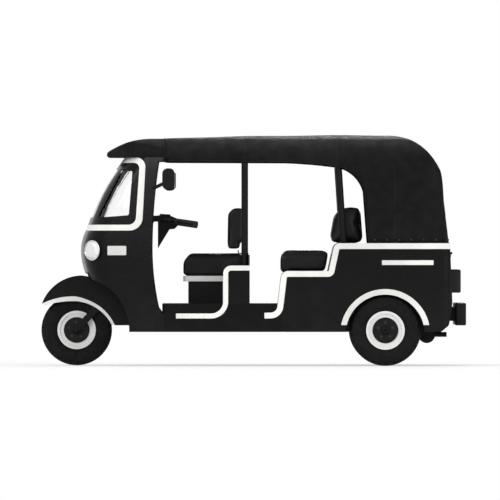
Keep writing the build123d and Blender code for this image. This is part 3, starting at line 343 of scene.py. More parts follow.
def tyre_rubber():
    """Matt rubber with a fine grain, dusty in patches."""
    f = Finish("tyre_rubber", (0.012, 0.012, 0.0125), 0.78)
    f.set("Specular IOR Level", 0.15)
    dust = f.steps(f.noise(20, 6, 0.65), 0.4, 0.8, 0.0, 0.6)
    f.colour(f.blend(dust, seat_black, (0.016, 0.015, 0.0135)))
    f.rough(f.steps(f.noise(40, 4), 0.3, 0.7, 0.68, 0.9))
    f.shape(f.bump(f.noise(500, 3), 0.0003, f.bump(f.noise(45, 3), 0.0006)))
    return f.material


def wheel_paint(name, centre_x):
    """Pressed rim: white ring outside, black hub inside, split by radius."""
    f = Finish(name, (0.7, 0.7, 0.68), 0.35)
    x = f.math("SUBTRACT", f.axis(0), centre_x)
    z = f.math("SUBTRACT", f.axis(2), axle_height)
    ring_from, hub_to = 0.0935, 0.0925
    inner = f.steps(f.span(x, z), ring_from, hub_to)
    rounded = f.rounded(0.002)
    grime = f.steps(f.noise(14, 6, 0.65), 0.5, 0.85, 0.0, 0.25)
    ring = f.blend(grime, (0.88, 0.875, 0.86), (0.42, 0.39, 0.35))
    ring = f.blend(f.math("MULTIPLY", f.edge(rounded), 0.2), ring, (0.4, 0.38, 0.35))
    oil = f.steps(f.noise(12, 5), 0.4, 0.8, 0.0, 0.5)
    hub = f.blend(oil, (0.005, 0.005, 0.0053), (0.011, 0.0105, 0.01))
    f.colour(f.blend(inner, ring, hub))
    f.rough(f.steps(f.noise(30, 4), 0.3, 0.7, 0.28, 0.45))
    f.set("Specular IOR Level", 0.15)
    f.shape(f.bump(f.noise(200, 2), 0.0001, rounded))
    return f.material


def floor_finish():
    """Black paint on the sills, ribbed rubber mat on what faces up."""
    f = Finish("floor_and_sills", soft_black, 0.4)
    f.set("Specular IOR Level", 0.09)
    up = f.steps(f.axis(2, f.normal()), 0.6, 0.8)
    rib_pitch, rib_height = 0.018, 0.003
    rib = f.math("MULTIPLY", f.steps(f.wave(f.axis(1), rib_pitch), -0.4, 0.4), up)
    dust = f.steps(f.noise(7, 6, 0.6), 0.35, 0.75, 0.05, 0.35)
    mat = f.blend(f.math("MULTIPLY", dust, 0.6), (0.012, 0.012, 0.012), road_dust)
    splash = f.steps(f.noise(9, 5), 0.4, 0.8, 0.02, 0.12)
    low = f.math("MULTIPLY", f.steps(f.axis(2), 0.5, 0.24), splash)
    side = f.blend(f.math("MULTIPLY", low, 0.5), (0.0045, 0.0045, 0.0048), road_dust)
    f.colour(f.blend(up, side, mat))
    f.rough(f.steps(up, 0, 1, 0.26, 0.75))
    f.shape(f.bump(rib, rib_height, f.bump(f.noise(220, 2), 0.0001, f.rounded())))
    return f.material


def cast_metal():
    """Sand-cast alloy with cooling fins and oil stains."""
    f = Finish("engine_alloy", (0.3, 0.3, 0.29), 0.5, 0.85)
    fin_pitch, fin_height = 0.022, 0.006
    fin = f.steps(f.wave(f.axis(2), fin_pitch), -0.2, 0.3)
    oil = f.steps(f.noise(6, 6, 0.65), 0.42, 0.7)
    f.colour(f.blend(oil, (0.26, 0.26, 0.25), (0.06, 0.055, 0.05)))
    f.rough(f.steps(oil, 0, 1, 0.55, 0.35))
    f.shape(f.bump(fin, fin_height, f.bump(f.noise(150, 4), 0.0006, f.rounded(0.004))))
    return f.material


def exhaust_steel():
    """Black heat paint, burnt through to rust in places."""
    f = Finish("silencer_steel", (0.01, 0.01, 0.01), 0.6)
    f.set("Specular IOR Level", 0.15)
    rust = f.steps(f.noise(10, 7, 0.7), 0.52, 0.72, 0.0, 0.6)
    f.colour(f.blend(rust, (0.009, 0.009, 0.009), (0.05, 0.024, 0.013)))
    f.rough(f.steps(rust, 0, 1, 0.5, 0.9))
    f.shape(f.bump(rust, 0.0008, f.bump(f.noise(120, 4), 0.0005, f.rounded(0.004))))
    return f.material


def glass():
    """Thin clear glass: it mirrors by its slant, lets the rest through, faint smears."""
    f = Finish("window_glass", (0.95, 0.97, 0.96), 0.02, 1.0)
    smear = f.steps(f.noise(6, 5, 0.6), 0.5, 0.85, 0.0, 0.02)
    f.set("Alpha", f.math("ADD", f.slant(), smear, True))
    f.rough(f.steps(f.noise(9, 4), 0.4, 0.8, 0.01, 0.05))
    return f.material


def sheet_window():
    """Clear flexible sheet, slightly wavy, dull and yellowed."""
    f = Finish("rear_sheet", (0.6, 0.6, 0.55), 0.12)
    mirrored = f.steps(f.slant(), 0.04, 1.0, 0.08, 0.9, False)
    haze = f.steps(f.noise(5, 5, 0.6), 0.35, 0.8, 0.06, 0.22)
    f.set("Alpha", f.math("ADD", mirrored, haze, True))
    f.rough(f.steps(f.noise(9, 5), 0.35, 0.75, 0.08, 0.2))
    f.shape(f.bump(f.noise(7, 3), 0.004))
    return f.material


def lens(name, colour, flute_axis, pitch):
    """Fluted lamp lens over a bright reflector."""
    f = Finish(name, colour, 0.12)
    f.set("Coat Weight", 1.0)
    f.set("Coat Roughness", 0.03)
    flute = f.wave(f.axis(flute_axis), pitch)
    f.colour(f.blend(f.steps(flute, -1, 1, 0.0, 0.3), colour, toned(colour, 0.8)))
    f.rough(f.steps(f.noise(30, 3), 0.3, 0.7, 0.1, 0.16))
    f.shape(f.bump(flute, 0.0012))
    return f.material


def tail_lamp():
    """Black housing whose rear face has an amber, a red and a clear zone, from the top."""
    f = Finish("tail_lamp", soft_black, 0.35)
    f.set("Specular IOR Level", 0.2)
    facing = f.math("LESS_THAN", f.axis(0, f.normal()), -0.97)
    back = f.math("MULTIPLY", facing, f.steps(f.axis(0), -1.4885, -1.4905))
    z = f.axis(2)
    amber = f.steps(z, 0.646, 0.648)
    clear = f.steps(z, 0.574, 0.572)
    zone = f.blend(amber, (0.42, 0.008, 0.006), (0.75, 0.2, 0.01))
    zone = f.blend(clear, zone, (0.75, 0.75, 0.75))
    f.colour(f.blend(back, soft_black, zone))
    f.set("Coat Weight", f.math("MULTIPLY", back, 0.8))
    f.set("Coat Roughness", 0.04)
    f.rough(f.steps(back, 0, 1, 0.4, 0.12))
    prism_pitch = full_turn / 900
    prisms = f.math("MULTIPLY", f.wave(f.axis(1), prism_pitch), f.wave(z, prism_pitch))
    f.shape(f.bump(f.math("MULTIPLY", prisms, back), 0.0008, f.rounded()))
    return f.material


def grip_rubber():
    """Moulded grip: rings along its length and a soft grain."""
    f = Finish("grip_rubber", (0.016, 0.016, 0.016), 0.75)
    ring_pitch, ring_height = 0.009, 0.0018
    ring = f.steps(f.wave(f.axis(0), ring_pitch), -0.3, 0.3)
    f.colour(f.blend(f.noise(30, 4), (0.012, 0.012, 0.012), (0.028, 0.027, 0.026)))
    f.rough(f.steps(f.noise(40, 3), 0.3, 0.7, 0.65, 0.85))
    f.shape(f.bump(ring, ring_height, f.bump(f.noise(300, 2), 0.0003)))
    return f.material


def mirror_surface():
    f = Finish("mirror_silver", (0.86, 0.87, 0.88), 0.03, 1.0)
    f.rough(f.steps(f.noise(20, 4), 0.4, 0.8, 0.02, 0.08))
    return f.material


def dial_marks(centre_x):
    """Black dial with a ring of pale ticks and a red needle."""
    f = Finish("dial_face", (0.01, 0.01, 0.01), 0.15)
    f.set("Coat Weight", 1.0)
    x, y = f.math("SUBTRACT", f.axis(0), centre_x), f.axis(1)
    turn = f.math("ARCTAN2", y, x)
    radius = f.span(x, y)
    tick_count, tick_share = 24, 0.16
    tick = f.math("FRACT", f.math("MULTIPLY", turn, tick_count / full_turn))
    tick = f.math("LESS_THAN", tick, tick_share)
    ring = f.math("MULTIPLY", f.steps(radius, 0.0255, 0.026), f.steps(radius, 0.032, 0.0315))
    needle_turn, needle_half = 2.2, 0.06
    needle = f.math("MULTIPLY", f.band(turn, needle_turn, needle_half), f.steps(radius, 0.026, 0.025))
    shade = f.blend(f.math("MULTIPLY", tick, ring), (0.01, 0.01, 0.01), (0.7, 0.7, 0.66))
    f.colour(f.blend(needle, shade, (0.6, 0.05, 0.02)))
    return f.material


black_paint = paint("black_enamel", (0.0042, 0.0042, 0.0045), (0.028, 0.028, 0.028))
white_paint = paint("white_enamel", (0.77, 0.765, 0.74), (0.3, 0.28, 0.25), 0.32, 0.2, 0.22, shine=0.5)
tube_paint = paint("tube_enamel", (0.005, 0.005, 0.005), (0.04, 0.036, 0.032), 0.36, 0.02, 0.05)
chassis_paint = textured("chassis_black", (0.008, 0.0078, 0.0075), 0.62, 90, 0.0008, (0.1, 0.06, 0.04))
black_plastic = textured("black_plastic", seat_black, 0.45, 600, 0.0002, (0.035, 0.035, 0.035))
bright_metal = textured("bright_metal", (0.62, 0.62, 0.62), 0.18, 300, 0.00005, None, 1.0)
blacked_steel = textured("blacked_steel", (0.03, 0.03, 0.031), 0.4, 300, 0.0002, (0.12, 0.11, 0.1), 0.5)
canvas = hood_cloth()
rubber = tyre_rubber()
clear_glass = glass()
rear_rim_paint = wheel_paint("rear_rim_paint", rear_axle_x)

finishes = {
    "front_cowl": black_paint,
    "rear_tub": black_paint,
    "engine_hatch": black_paint,
    "partition": black_paint,
    "windscreen_frame": black_paint,
    "front_mudguard": black_paint,
    "rear_bumper": black_paint,
    "windscreen_moulding": white_paint,
    "body_mouldings": white_paint,
    "mudguard_lip": white_paint,
    "driver_seat_tray": white_paint,
    "wheel_house": tube_paint,
    "hood_frame": tube_paint,
    "driver_seat_base": tube_paint,
    "seat_back_brackets": tube_paint,
    "fork": tube_paint,
    "handlebar": tube_paint,
    "chassis_frame": chassis_paint,
    "rear_suspension": chassis_paint,
    "dashboard": black_plastic,
    "steering_head": black_plastic,
    "mirrors": black_plastic,
    "headlamps": black_plastic,
    "floor_pan": floor_finish(),
    "engine": cast_metal(),
    "silencer": exhaust_steel(),
    "windscreen_glass": clear_glass,
    "quarter_glass": clear_glass,
    "rear_window": sheet_window(),
    "headlamp_lenses": lens("headlamp_glass", (0.9, 0.9, 0.89), 1, 0.012),
    "indicators": lens("indicator_lens", (0.86, 0.86, 0.84), 2, 0.006),
    "tail_lamps": tail_lamp(),
    "grips": grip_rubber(),
    "front_rim": wheel_paint("front_rim_paint", front_hub.x),
    "rear_left_rim": rear_rim_paint,
    "rear_right_rim": rear_rim_paint,
}
for node, finish in finishes.items():
    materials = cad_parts[node].data.materials
    materials.clear()
    materials.append(finish)


def dress(piece, material, body):
    """Give a new piece its finish and the body that it rides on."""
    piece.data.materials.clear()
    piece.data.materials.append(material)
    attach(piece, body)


def as_mesh(bm, name):
    """A mesh of a bmesh, which is used up."""
    mesh = bpy.data.meshes.new(name)
    bm.to_mesh(mesh)
    bm.free()
    return mesh


def finished(name, bm, sharp=math.radians(35)):
    """A named mesh object from a bmesh, smooth but for its sharp edges."""
    mesh = as_mesh(bm, name)
    mesh.shade_smooth()
    mesh.set_sharp_from_angle(angle=sharp)
    return linked(name, mesh)


def made_mesh(source):
    """A new mesh of what a curve, or an object's modifiers, make."""
    graph = bpy.context.evaluated_depsgraph_get()
    return bpy.data.meshes.new_from_object(source.evaluated_get(graph))


def bake_modifiers(piece):
    """Replace a piece's mesh by what its modifiers make of it."""
    mesh = made_mesh(piece)
    piece.modifiers.clear()
    piece.data = mesh
    mesh.shade_smooth()


def welded(node):
    """A bmesh copy of a CAD node with its loose triangles joined."""
    bm = bmesh.new()
    bm.from_mesh(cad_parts[node].data)
    bmesh.ops.remove_doubles(bm, verts=bm.verts, dist=1e-5)
    return bm


def joined(meshes):
    """One bmesh of several meshes."""
    bm = bmesh.new()
    for mesh in meshes:
        bm.from_mesh(mesh)
    return bm


def merge_flat(bm):
    """Join the triangles of each flat or nearly flat stretch into one face."""
    bmesh.ops.dissolve_limit(bm, angle_limit=math.radians(0.6), verts=bm.verts, edges=bm.edges)


def cut_across(bm, axis, places):
    """Cut a mesh by planes square to one axis."""
    normal = Vector((0, 0, 0))
    normal[axis] = 1
    for place in places:
        everything = bm.verts[:] + bm.edges[:] + bm.faces[:]
        bmesh.ops.bisect_plane(bm, geom=everything, dist=1e-4, plane_co=normal * place, plane_no=normal)


def ease(bm, edges, width, segments):
    """Round the given edges over a width."""
    bmesh.ops.bevel(
        bm, geom=list(edges), offset=width, segments=segments, profile=0.5, affect="EDGES", material=-1,
    )


def spun(section, axis, steps, closed=False):
    """A bmesh turned from a line of points round an axis through the origin."""
    bm = bmesh.new()
    verts = [bm.verts.new(point) for point in section]
    pairs = list(zip(verts, verts[1:]))
    if closed:
        pairs.append((verts[-1], verts[0]))
    edges = [bm.edges.new(pair) for pair in pairs]
    bmesh.ops.spin(
        bm, geom=verts + edges, cent=(0, 0, 0), axis=axis, angle=full_turn, steps=steps, use_merge=True,
    )
    bmesh.ops.recalc_face_normals(bm, faces=bm.faces)
    return bm


def disc(bm, radius, depth, at, segments, taper=1.0, turn=Matrix.Rotation(math.radians(90), 4, "X")):
    """A short round bar with its middle at a point, across the vehicle unless turned."""
    bmesh.ops.create_cone(
        bm, cap_ends=True, segments=segments, radius1=radius, radius2=radius * taper, depth=depth,
        matrix=Matrix.Translation(at) @ turn,
    )


def cuboid(bm, middle, size):
    """A box, returned as its corners."""
    matrix = Matrix.Translation(middle) @ Matrix.Diagonal((*size, 1))
    return bmesh.ops.create_cube(bm, size=1, matrix=matrix)["verts"]


def block(bm, low, high, rounding=0.002):
    """A box between two corners with rounded edges."""
    low, high = Vector(low), Vector(high)
    corners = cuboid(bm, (low + high) / 2, high - low)
    ease(bm, {e for v in corners for e in v.link_edges}, rounding, 2)


def rod(points, radius, ends=None, resolution=8, roundness=3, capped=True):
    """A round bar along a smooth line of points, as a mesh; ends scale its two tips."""
    curve = bpy.data.curves.new("rod", "CURVE")
    curve.dimensions = "3D"
    line = curve.splines.new("NURBS")
    line.points.add(len(points) - 1)
    for point, place in zip(line.points, points):
        point.co = (*place, 1)
    if ends:
        line.points[0].radius, line.points[-1].radius = ends
    line.use_endpoint_u = True
    line.order_u = 3
    line.resolution_u = resolution
    curve.bevel_depth = radius
    curve.bevel_resolution = roundness
    curve.use_fill_caps = capped
    bar = linked("rod", curve)
    mesh = made_mesh(bar)
    bpy.data.objects.remove(bar)
    return mesh


# Upholstery
def swell(pad, frames=20):
    """Blow a closed mesh up like cloth under an even pressure from inside."""
    cloth = pad.modifiers.new("swell", "CLOTH")
    cloth.settings.use_pressure = True
    cloth.settings.uniform_pressure_force = 4.0
    cloth.settings.effector_weights.gravity = 0
    cloth.settings.quality = 3
    cloth.settings.tension_stiffness = 12
    cloth.settings.compression_stiffness = 12
    cloth.settings.bending_stiffness = 0.6
    cloth.collision_settings.use_collision = False
    for step in range(1, frames + 1):
        scene.frame_set(step)
    bake_modifiers(pad)
    scene.frame_set(1)


def stuffed(node, name, voxel, shrink, cap, seam_z, channels, facing):
    """A pad that swells from its solid, held inside a cap, with sewn channels on its face."""
    bm = welded(node)
    low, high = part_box(node)
    smaller = [1 - 2 * shrink / size for size in high - low]
    middle = Matrix.Translation(-(low + high) / 2)
    bmesh.ops.scale(bm, vec=smaller, space=middle, verts=bm.verts)
    pad = finished(name, bm)
    remesh = pad.modifiers.new("even", "REMESH")
    remesh.mode = "VOXEL"
    remesh.voxel_size = voxel
    bake_modifiers(pad)
    start = [v.co.copy() for v in pad.data.vertices]
    swell(pad)
    side_room, base_clearance, outer_room = 0.006, 0.0004, 0.008
    least = low + Vector((-side_room, -side_room, base_clearance))
    most = high + Vector((outer_room, outer_room, outer_room))
    for v, rest in zip(pad.data.vertices, start):
        move = v.co - rest
        if move.length > cap:
            v.co = rest + move.normalized() * cap
        v.co = [min(max(place, a), b) for place, a, b in zip(v.co, least, most)]
    subdivided = pad.modifiers.new("finer", "SUBSURF")
    subdivided.levels = subdivided.render_levels = 1
    bake_modifiers(pad)
    channel_depth, channel_half = 0.009, 0.0075
    normals = [v.normal.copy() for v in pad.data.vertices]
    for v, normal in zip(pad.data.vertices, normals):
        away = min(abs(v.co.y - channel) for channel in channels)
        depth = channel_depth * math.exp(-((away / channel_half) ** 2))
        v.co -= normal * (depth * max(0.0, normal.dot(facing)))
    dress(pad, vinyl(name + "_vinyl", seam_z), "body")
    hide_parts(node)


def spaced(half, count):
    """The places that part a width into equal panels."""
    return [half * (2 * i / count - 1) for i in range(1, count)]


driver_channels = spaced(0.29, 4)
cushion_facing = Vector((0.3, 0, 0.95))
stuffed(
    "driver_seat_cushion", "driver_cushion", voxel=0.012, shrink=0.008, cap=0.014,
    seam_z=0.785, channels=driver_channels, facing=cushion_facing,
)
stuffed(
    "driver_seat_back", "driver_backrest", voxel=0.011, shrink=0.005, cap=0.01,
    seam_z=None, channels=driver_channels, facing=Vector((1, 0, 0)),
)
stuffed(
    "passenger_seat_cushion", "bench_cushion", voxel=0.014, shrink=0.008, cap=0.014,
    seam_z=0.805, channels=spaced(0.56, 9), facing=cushion_facing,
)
stuffed(
    "passenger_seat_back", "bench_backrest", voxel=0.014, shrink=0.007, cap=0.012,
    seam_z=None, channels=spaced(0.52, 9), facing=Vector((0.9, 0, 0.4)),
)


# Hood cloth
def outer_skin(node, centre, thickness):
    """The faces of a thin shell that look away from a centre, with small holes filled."""
    bm = welded(node)
    tree = BVHTree.FromBMesh(bm)
    under_face, slant_allowance = 0.0005, 1.6
    unwanted = []
    for face in bm.faces:
        middle = face.calc_center_median()
        through = tree.ray_cast(middle - face.normal * under_face, -face.normal)[3]
        thin = through is not None and through < thickness * slant_allowance
        if not thin or face.normal.dot(middle - centre) < 0:
            unwanted.append(face)
    bmesh.ops.delete(bm, geom=unwanted, context="FACES")
    bmesh.ops.holes_fill(bm, edges=[e for e in bm.edges if e.is_boundary], sides=8)
    return bm


def hood():
    """The canopy's outer skin cut to an even grid, eased, and sagged between its hoops."""
    bm = outer_skin("hood_canopy", centre=Vector((-0.5, 0, 1.1)), thickness=0.016)
    merge_flat(bm)
    low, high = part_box("hood_canopy")
    grid, grid_start = 0.03, 0.004
    for axis in range(3):
        count = int((high[axis] - low[axis]) / grid)
        cut_across(bm, axis, [low[axis] + (k * grid + grid_start) for k in range(1, count)])
    bmesh.ops.remove_doubles(bm, verts=bm.verts, dist=0.002)
    inner = [v for v in bm.verts if not v.is_boundary]
    for _ in range(3):
        bmesh.ops.smooth_vert(
            bm, verts=inner, factor=0.5, use_axis_x=True, use_axis_y=True, use_axis_z=True,
        )
    crown, sag_depth, sag_half_width = 0.003, 0.004, 0.6
    corner_push, corner_z, corner_reach = 0.010, 1.34, 0.12
    window_half, window_blend = 0.34, 0.14
    faced = [v.normal.copy() for v in inner]
    for v, normal in zip(inner, faced):
        top = max(0.0, normal.z)
        v.co.z += crown * top
        beside_window = min(1.0, max(0.0, (abs(v.co.y) - window_half) / window_blend))
        near_corner = math.exp(-((v.co.z - corner_z) / corner_reach) ** 2)
        v.co.x -= corner_push * beside_window * max(0.0, -normal.x) * near_corner
        for front, back in zip(hoops_x, hoops_x[1:]):
            if back < v.co.x < front:
                sag = math.sin(math.pi * (v.co.x - back) / (front - back)) ** 2
                across = 1 - min(1, abs(v.co.y) / sag_half_width) ** 2
                v.co.z -= sag_depth * sag * top * across
    cloth = finished("hood_cloth", bm, math.radians(70))
    wall = cloth.modifiers.new("cloth", "SOLIDIFY")
    wall.thickness = 0.0025
    wall.offset = -1
    dress(cloth, canvas, "body")
    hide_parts("hood_canopy")
    return cloth


hood_sheet = hood()


def piping(sheet, name, radius):
    """A bound edge: a cord of cloth along every free edge of a sheet."""
    bm = joined([sheet])
    gone = [e for e in bm.edges if not e.is_boundary]
    bmesh.ops.delete(bm, geom=bm.faces[:], context="FACES_ONLY")
    bmesh.ops.delete(bm, geom=gone, context="EDGES")
    bmesh.ops.delete(bm, geom=[v for v in bm.verts if not v.link_edges], context="VERTS")
    line = linked(name, as_mesh(bm, name))
    with bpy.context.temp_override(
        active_object=line, object=line, selected_objects=[line], selected_editable_objects=[line],
    ):
        bpy.ops.object.convert(target="CURVE")
    line = bpy.data.objects[name]
    line.data.bevel_depth = radius
    line.data.bevel_resolution = 2
    mesh = made_mesh(line)
    bpy.data.objects.remove(line)
    mesh.shade_smooth()
    return linked(name, mesh)


dress(piping(hood_sheet.data, "hood_binding", 0.0055), canvas, "body")


# Half of a tyre's section, from the bead to the middle of the tread: distance from
# the wheel's middle plane, and radius
tread = [
    (0.0400, 0.1300), (0.0405, 0.1420), (0.0470, 0.1500), (0.0545, 0.1600), (0.0552, 0.1650),
    (0.0570, 0.1655), (0.0605, 0.1760), (0.0630, 0.1920), (0.0625, 0.2100), (0.0600, 0.2220),
    (0.0595, 0.2235), (0.0575, 0.2330), (0.0530, 0.2405), (0.0470, 0.2450), (0.0340, 0.2500),
    (0.0325, 0.2445), (0.0270, 0.2450), (0.0255, 0.2525), (0.0105, 0.2553), (0.0090, 0.2490),
    (0.0035, 0.2490), (0.0020, 0.2558),
]


def tyre(name, centre, steps=90):
    """A section spun round the axle, with waved grooves and slots in its shoulders."""
    mirrored = [(-y, radius) for y, radius in reversed(tread)]
    bm = spun([(0, y, radius) for y, radius in tread + mirrored], (0, 1, 0), steps)
    turn = full_turn / steps
    groove_wave, groove_radius, groove_half = 0.0022, 0.2435, 0.036
    for v in bm.verts:
        if math.hypot(v.co.x, v.co.z) > groove_radius and abs(v.co.y) < groove_half:
            k = round(math.atan2(v.co.x, v.co.z) / turn)
            v.co.y += groove_wave if k % 2 else -groove_wave
    shoulder_radius, shoulder_from, shoulder_to = 0.2345, 0.034, 0.058
    slots = []
    for face in bm.faces:
        middle = face.calc_center_median()
        k = math.floor(math.atan2(middle.x, middle.z) / turn)
        on_shoulder = shoulder_from < abs(middle.y) < shoulder_to
        if math.hypot(middle.x, middle.z) > shoulder_radius and on_shoulder and k % 3 == 0:
            slots.append(face)
    bmesh.ops.inset_region(bm, faces=slots, thickness=0.0022, depth=-0.0055, use_even_offset=True)
    bmesh.ops.translate(bm, vec=centre, verts=bm.verts)
    piece = finished(name + "_tyre_tread", bm, math.radians(28))
    dress(piece, rubber, name + "_wheel")
    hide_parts(name + "_tyre")


def wheel_nuts(name, centre, sides):
    """Wheel nuts on their studs and washers."""
    count, circle, first_turn, nut_y = 5, 0.056, 0.3, 0.0535
    stud_out, washer_in = 0.008, 0.005
    bm = bmesh.new()
    for side in sides:
        for k in range(count):
            angle = full_turn * k / count + first_turn
            at = centre + Vector((math.cos(angle) * circle, side * nut_y, math.sin(angle) * circle))
            disc(bm, 0.0098, 0.011, at, 6)
            disc(bm, 0.0045, 0.007, at + Vector((0, side * stud_out, 0)), 12)
            disc(bm, 0.013, 0.0025, at - Vector((0, side * washer_in, 0)), 20)
    ease(bm, [e for e in bm.edges if e.calc_face_angle(0) > 0.9], 0.0007, 1)
    dress(finished(name + "_wheel_nuts", bm), blacked_steel, name + "_wheel")


for name in wheels:
    tyre(name, wheels[name][0])
for name, (centre, sides) in wheels.items():
    wheel_nuts(name, centre, sides)


def lamp_rims():
    """A rolled ring round each headlamp's lens."""
    ring_radius, wire_radius, wire_sides = 0.069, 0.0042, 10
    in_front = 0.0165
    around = [full_turn * k / wire_sides for k in range(wire_sides)]
    section = [(ring_radius + math.cos(a) * wire_radius, 0, math.sin(a) * wire_radius) for a in around]
    rings = []
    for side in (1, -1):
        yaw = math.radians(48) * side
        out = Vector((math.cos(yaw), math.sin(yaw), 0))
        centre = Vector((1.150, side * 0.505, 0.832)) + out * in_front
        turn = out.to_track_quat("Z", "Y").to_matrix().to_4x4()
        ring = spun(section, (0, 0, 1), 48, closed=True)
        bmesh.ops.transform(ring, matrix=Matrix.Translation(centre) @ turn, verts=ring.verts)
        rings.append(as_mesh(ring, "rim"))
    dress(finished("headlamp_rims", joined(rings), math.pi), bright_metal, "body")


def mirror_glasses():
    """Silvered plates with round corners, facing back."""
    thickness, width, height, corner = 0.003, 0.084, 0.124, 0.024
    bm = bmesh.new()
    for side in (1, -1):
        corners = cuboid(bm, (0.5647, side * 0.700, 1.345), (thickness, width, height))
        edges = {e for v in corners for e in v.link_edges}
        along_x = [e for e in edges if abs(e.verts[0].co.x - e.verts[1].co.x) > thickness / 2]
        ease(bm, along_x, corner, 5)
    dress(finished("mirror_glasses", bm), mirror_surface(), "body")


def coil_springs():
    """Coils round the rear struts."""
    strut_x, strut_y, foot_z, height = rear_axle_x + 0.095, 0.430, 0.300, 0.255
    coil_radius, wire_radius, turns, per_turn = 0.0425, 0.0055, 7, 10
    last = turns * per_turn
    coils = []
    for side in (1, -1):
        points = []
        for k in range(last + 1):
            angle = full_turn * k / per_turn
            x = strut_x + math.cos(angle) * coil_radius
            y = side * strut_y + math.sin(angle) * coil_radius
            points.append((x, y, foot_z + height * k / last))
        coils.append(rod(points, wire_radius, resolution=12, roundness=2, capped=False))
    dress(finished("rear_coil_springs", joined(coils)), tube_paint, "body")


def visor():
    """Roof visor: the solid's own peak drawn out to the long pointed brim."""
    bm = welded("roof_visor")
    low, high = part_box("roof_visor")
    merge_flat(bm)
    cut_pitch, cut_count = 0.02, 18
    cut_across(bm, 0, [low.x + k * cut_pitch for k in range(1, cut_count)])
    brim_start, brim_reach, thinning, fullness = 0.70, 0.056, 0.50, 0.04
    for v in bm.verts:
        share = min(1.0, max(0.0, (v.co.x - brim_start) / (high.x - brim_start)))
        v.co.x += brim_reach * share ** 2
        height = v.co.z - low.z
        v.co.z = low.z + height * (1 - thinning * share ** 5 + fullness * math.sin(math.pi * share))
    bm.normal_update()
    tip_x, sharp, faces_forward = 0.94, 0.7, 0.7
    front = [
        e for e in bm.edges
        if e.calc_face_angle(0) > sharp and min(v.co.x for v in e.verts) > tip_x
        and max(f.normal.x for f in e.link_faces) > faces_forward
    ]
    ease(bm, front, 0.014, 5)
    brim = finished("visor_brim", bm, math.radians(50))
    dress(brim, canvas, "body")
    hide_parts("roof_visor")


def sill_joint_covers():
    """Strips over the joints between the sills and the tub."""
    face_y, half = 0.6362, 0.0085
    bm = bmesh.new()
    for side in (1, -1):
        y = side * face_y
        block(bm, (-0.2235, y - half, 0.2455), (-0.1995, y + half, 0.44), 0.001)
    dress(finished("sill_joint_covers", bm), black_paint, "body")


def hood_buttons():
    """Turn buttons that hold the hood's hem to the tub, along both sides and the back."""
    hem_z, side_y, back_x = 0.908, 0.6345, -1.4095
    first_x, side_pitch, side_count = -0.875, 0.088, 6
    first_y, back_pitch, back_count = -0.42, 0.14, 7
    button = {"radius": 0.0075, "depth": 0.006, "segments": 14, "taper": 0.8}
    bm = bmesh.new()
    for side in (1, -1):
        for k in range(side_count):
            disc(bm, at=Vector((first_x - k * side_pitch, side * side_y, hem_z)), **button)
    facing_back = Matrix.Rotation(math.radians(-90), 4, "Y")
    for k in range(back_count):
        disc(bm, at=Vector((back_x, first_y + k * back_pitch, hem_z)), turn=facing_back, **button)
    dress(finished("hood_buttons", bm), blacked_steel, "body")


def hood_corner_tabs():
    """Canvas tabs that close the joint between the hood and the door pillars."""
    face_y, half = 0.626, 0.008
    bm = bmesh.new()
    for side in (1, -1):
        y = side * face_y
        block(bm, (0.630, y - half, 1.477), (0.649, y + half, 1.510))
    dress(finished("hood_corner_tabs", bm), canvas, "body")


def hood_gussets():
    """Gussets that close the hood's open front beside the narrower visor."""
    tree = BVHTree.FromBMesh(welded("hood_canopy"))
    front_x, thickness, inner_y, inside_rim = 0.631, 0.008, 0.578, 0.002
    foot_z, row_pitch, row_count = 1.479, 0.0118, 9
    bm = bmesh.new()
    for side in (1, -1):
        rows = []
        for k in range(row_count):
            z = foot_z + k * row_pitch
            rim = tree.ray_cast(Vector((front_x, side, z)), Vector((0, -side, 0)))[0]
            ends = (side * inner_y, rim.y - side * inside_rim)
            rows.append([bm.verts.new((front_x, y, z)) for y in ends])
        faces = [bm.faces.new((*low, *reversed(high))) for low, high in zip(rows, rows[1:])]
        grown = bmesh.ops.extrude_face_region(bm, geom=faces)["geom"]
        moved = [v for v in grown if isinstance(v, bmesh.types.BMVert)]
        bmesh.ops.translate(bm, vec=(thickness, 0, 0), verts=moved)
    bmesh.ops.recalc_face_normals(bm, faces=bm.faces)
    dress(finished("hood_gussets", bm), canvas, "body")


def hand_levers():
    """Levers beside the grips, swept back and a little down."""
    line = [(0.612, 0.206), (0.606, 0.262), (0.566, 0.296), (0.50, 0.322), (0.438, 0.344)]
    root_x, root_z, fall = 0.61, 1.046, 0.13
    levers = []
    for side in (1, -1):
        points = [(x, side * y, root_z - (root_x - x) * fall) for x, y in line]
        levers.append(rod(points, 0.0058, ends=(1.0, 1.25)))
    dress(finished("hand_levers", joined(levers)), black_plastic, "steering")


def dial():
    """A rimmed dial set flush on the steering head, by its height in front and behind."""
    tree = BVHTree.FromBMesh(welded("steering_head"))
    centre_x, probe = 0.638, 0.024
    from_above, down = 2, Vector((0, 0, -1))
    front, back = (
        tree.ray_cast(Vector((centre_x + reach, 0, from_above)), down)[0] for reach in (probe, -probe)
    )
    slope = math.atan2(front.z - back.z, front.x - back.x)
    proud = 0.001
    middle = (centre_x, 0, (front.z + back.z) / 2 + proud)
    at = Matrix.Translation(middle) @ Matrix.Rotation(-slope, 4, "Y")
    section = [
        (0.036, -0.004), (0.040, 0.004), (0.0395, 0.0085), (0.037, 0.010), (0.0345, 0.0085), (0.034, 0.005),
    ]
    rim = spun([(radius, 0, z) for radius, z in section], (0, 0, 1), 40)
    bmesh.ops.transform(rim, matrix=at, verts=rim.verts)
    dress(finished("dial_rim", rim), black_plastic, "steering")
    face = bmesh.new()
    face_radius, face_z = 0.0345, 0.0052
    raised = at @ Matrix.Translation((0, 0, face_z))
    bmesh.ops.create_circle(face, cap_ends=True, segments=40, radius=face_radius, matrix=raised)
    dress(finished("dial_face", face), dial_marks(centre_x), "steering")


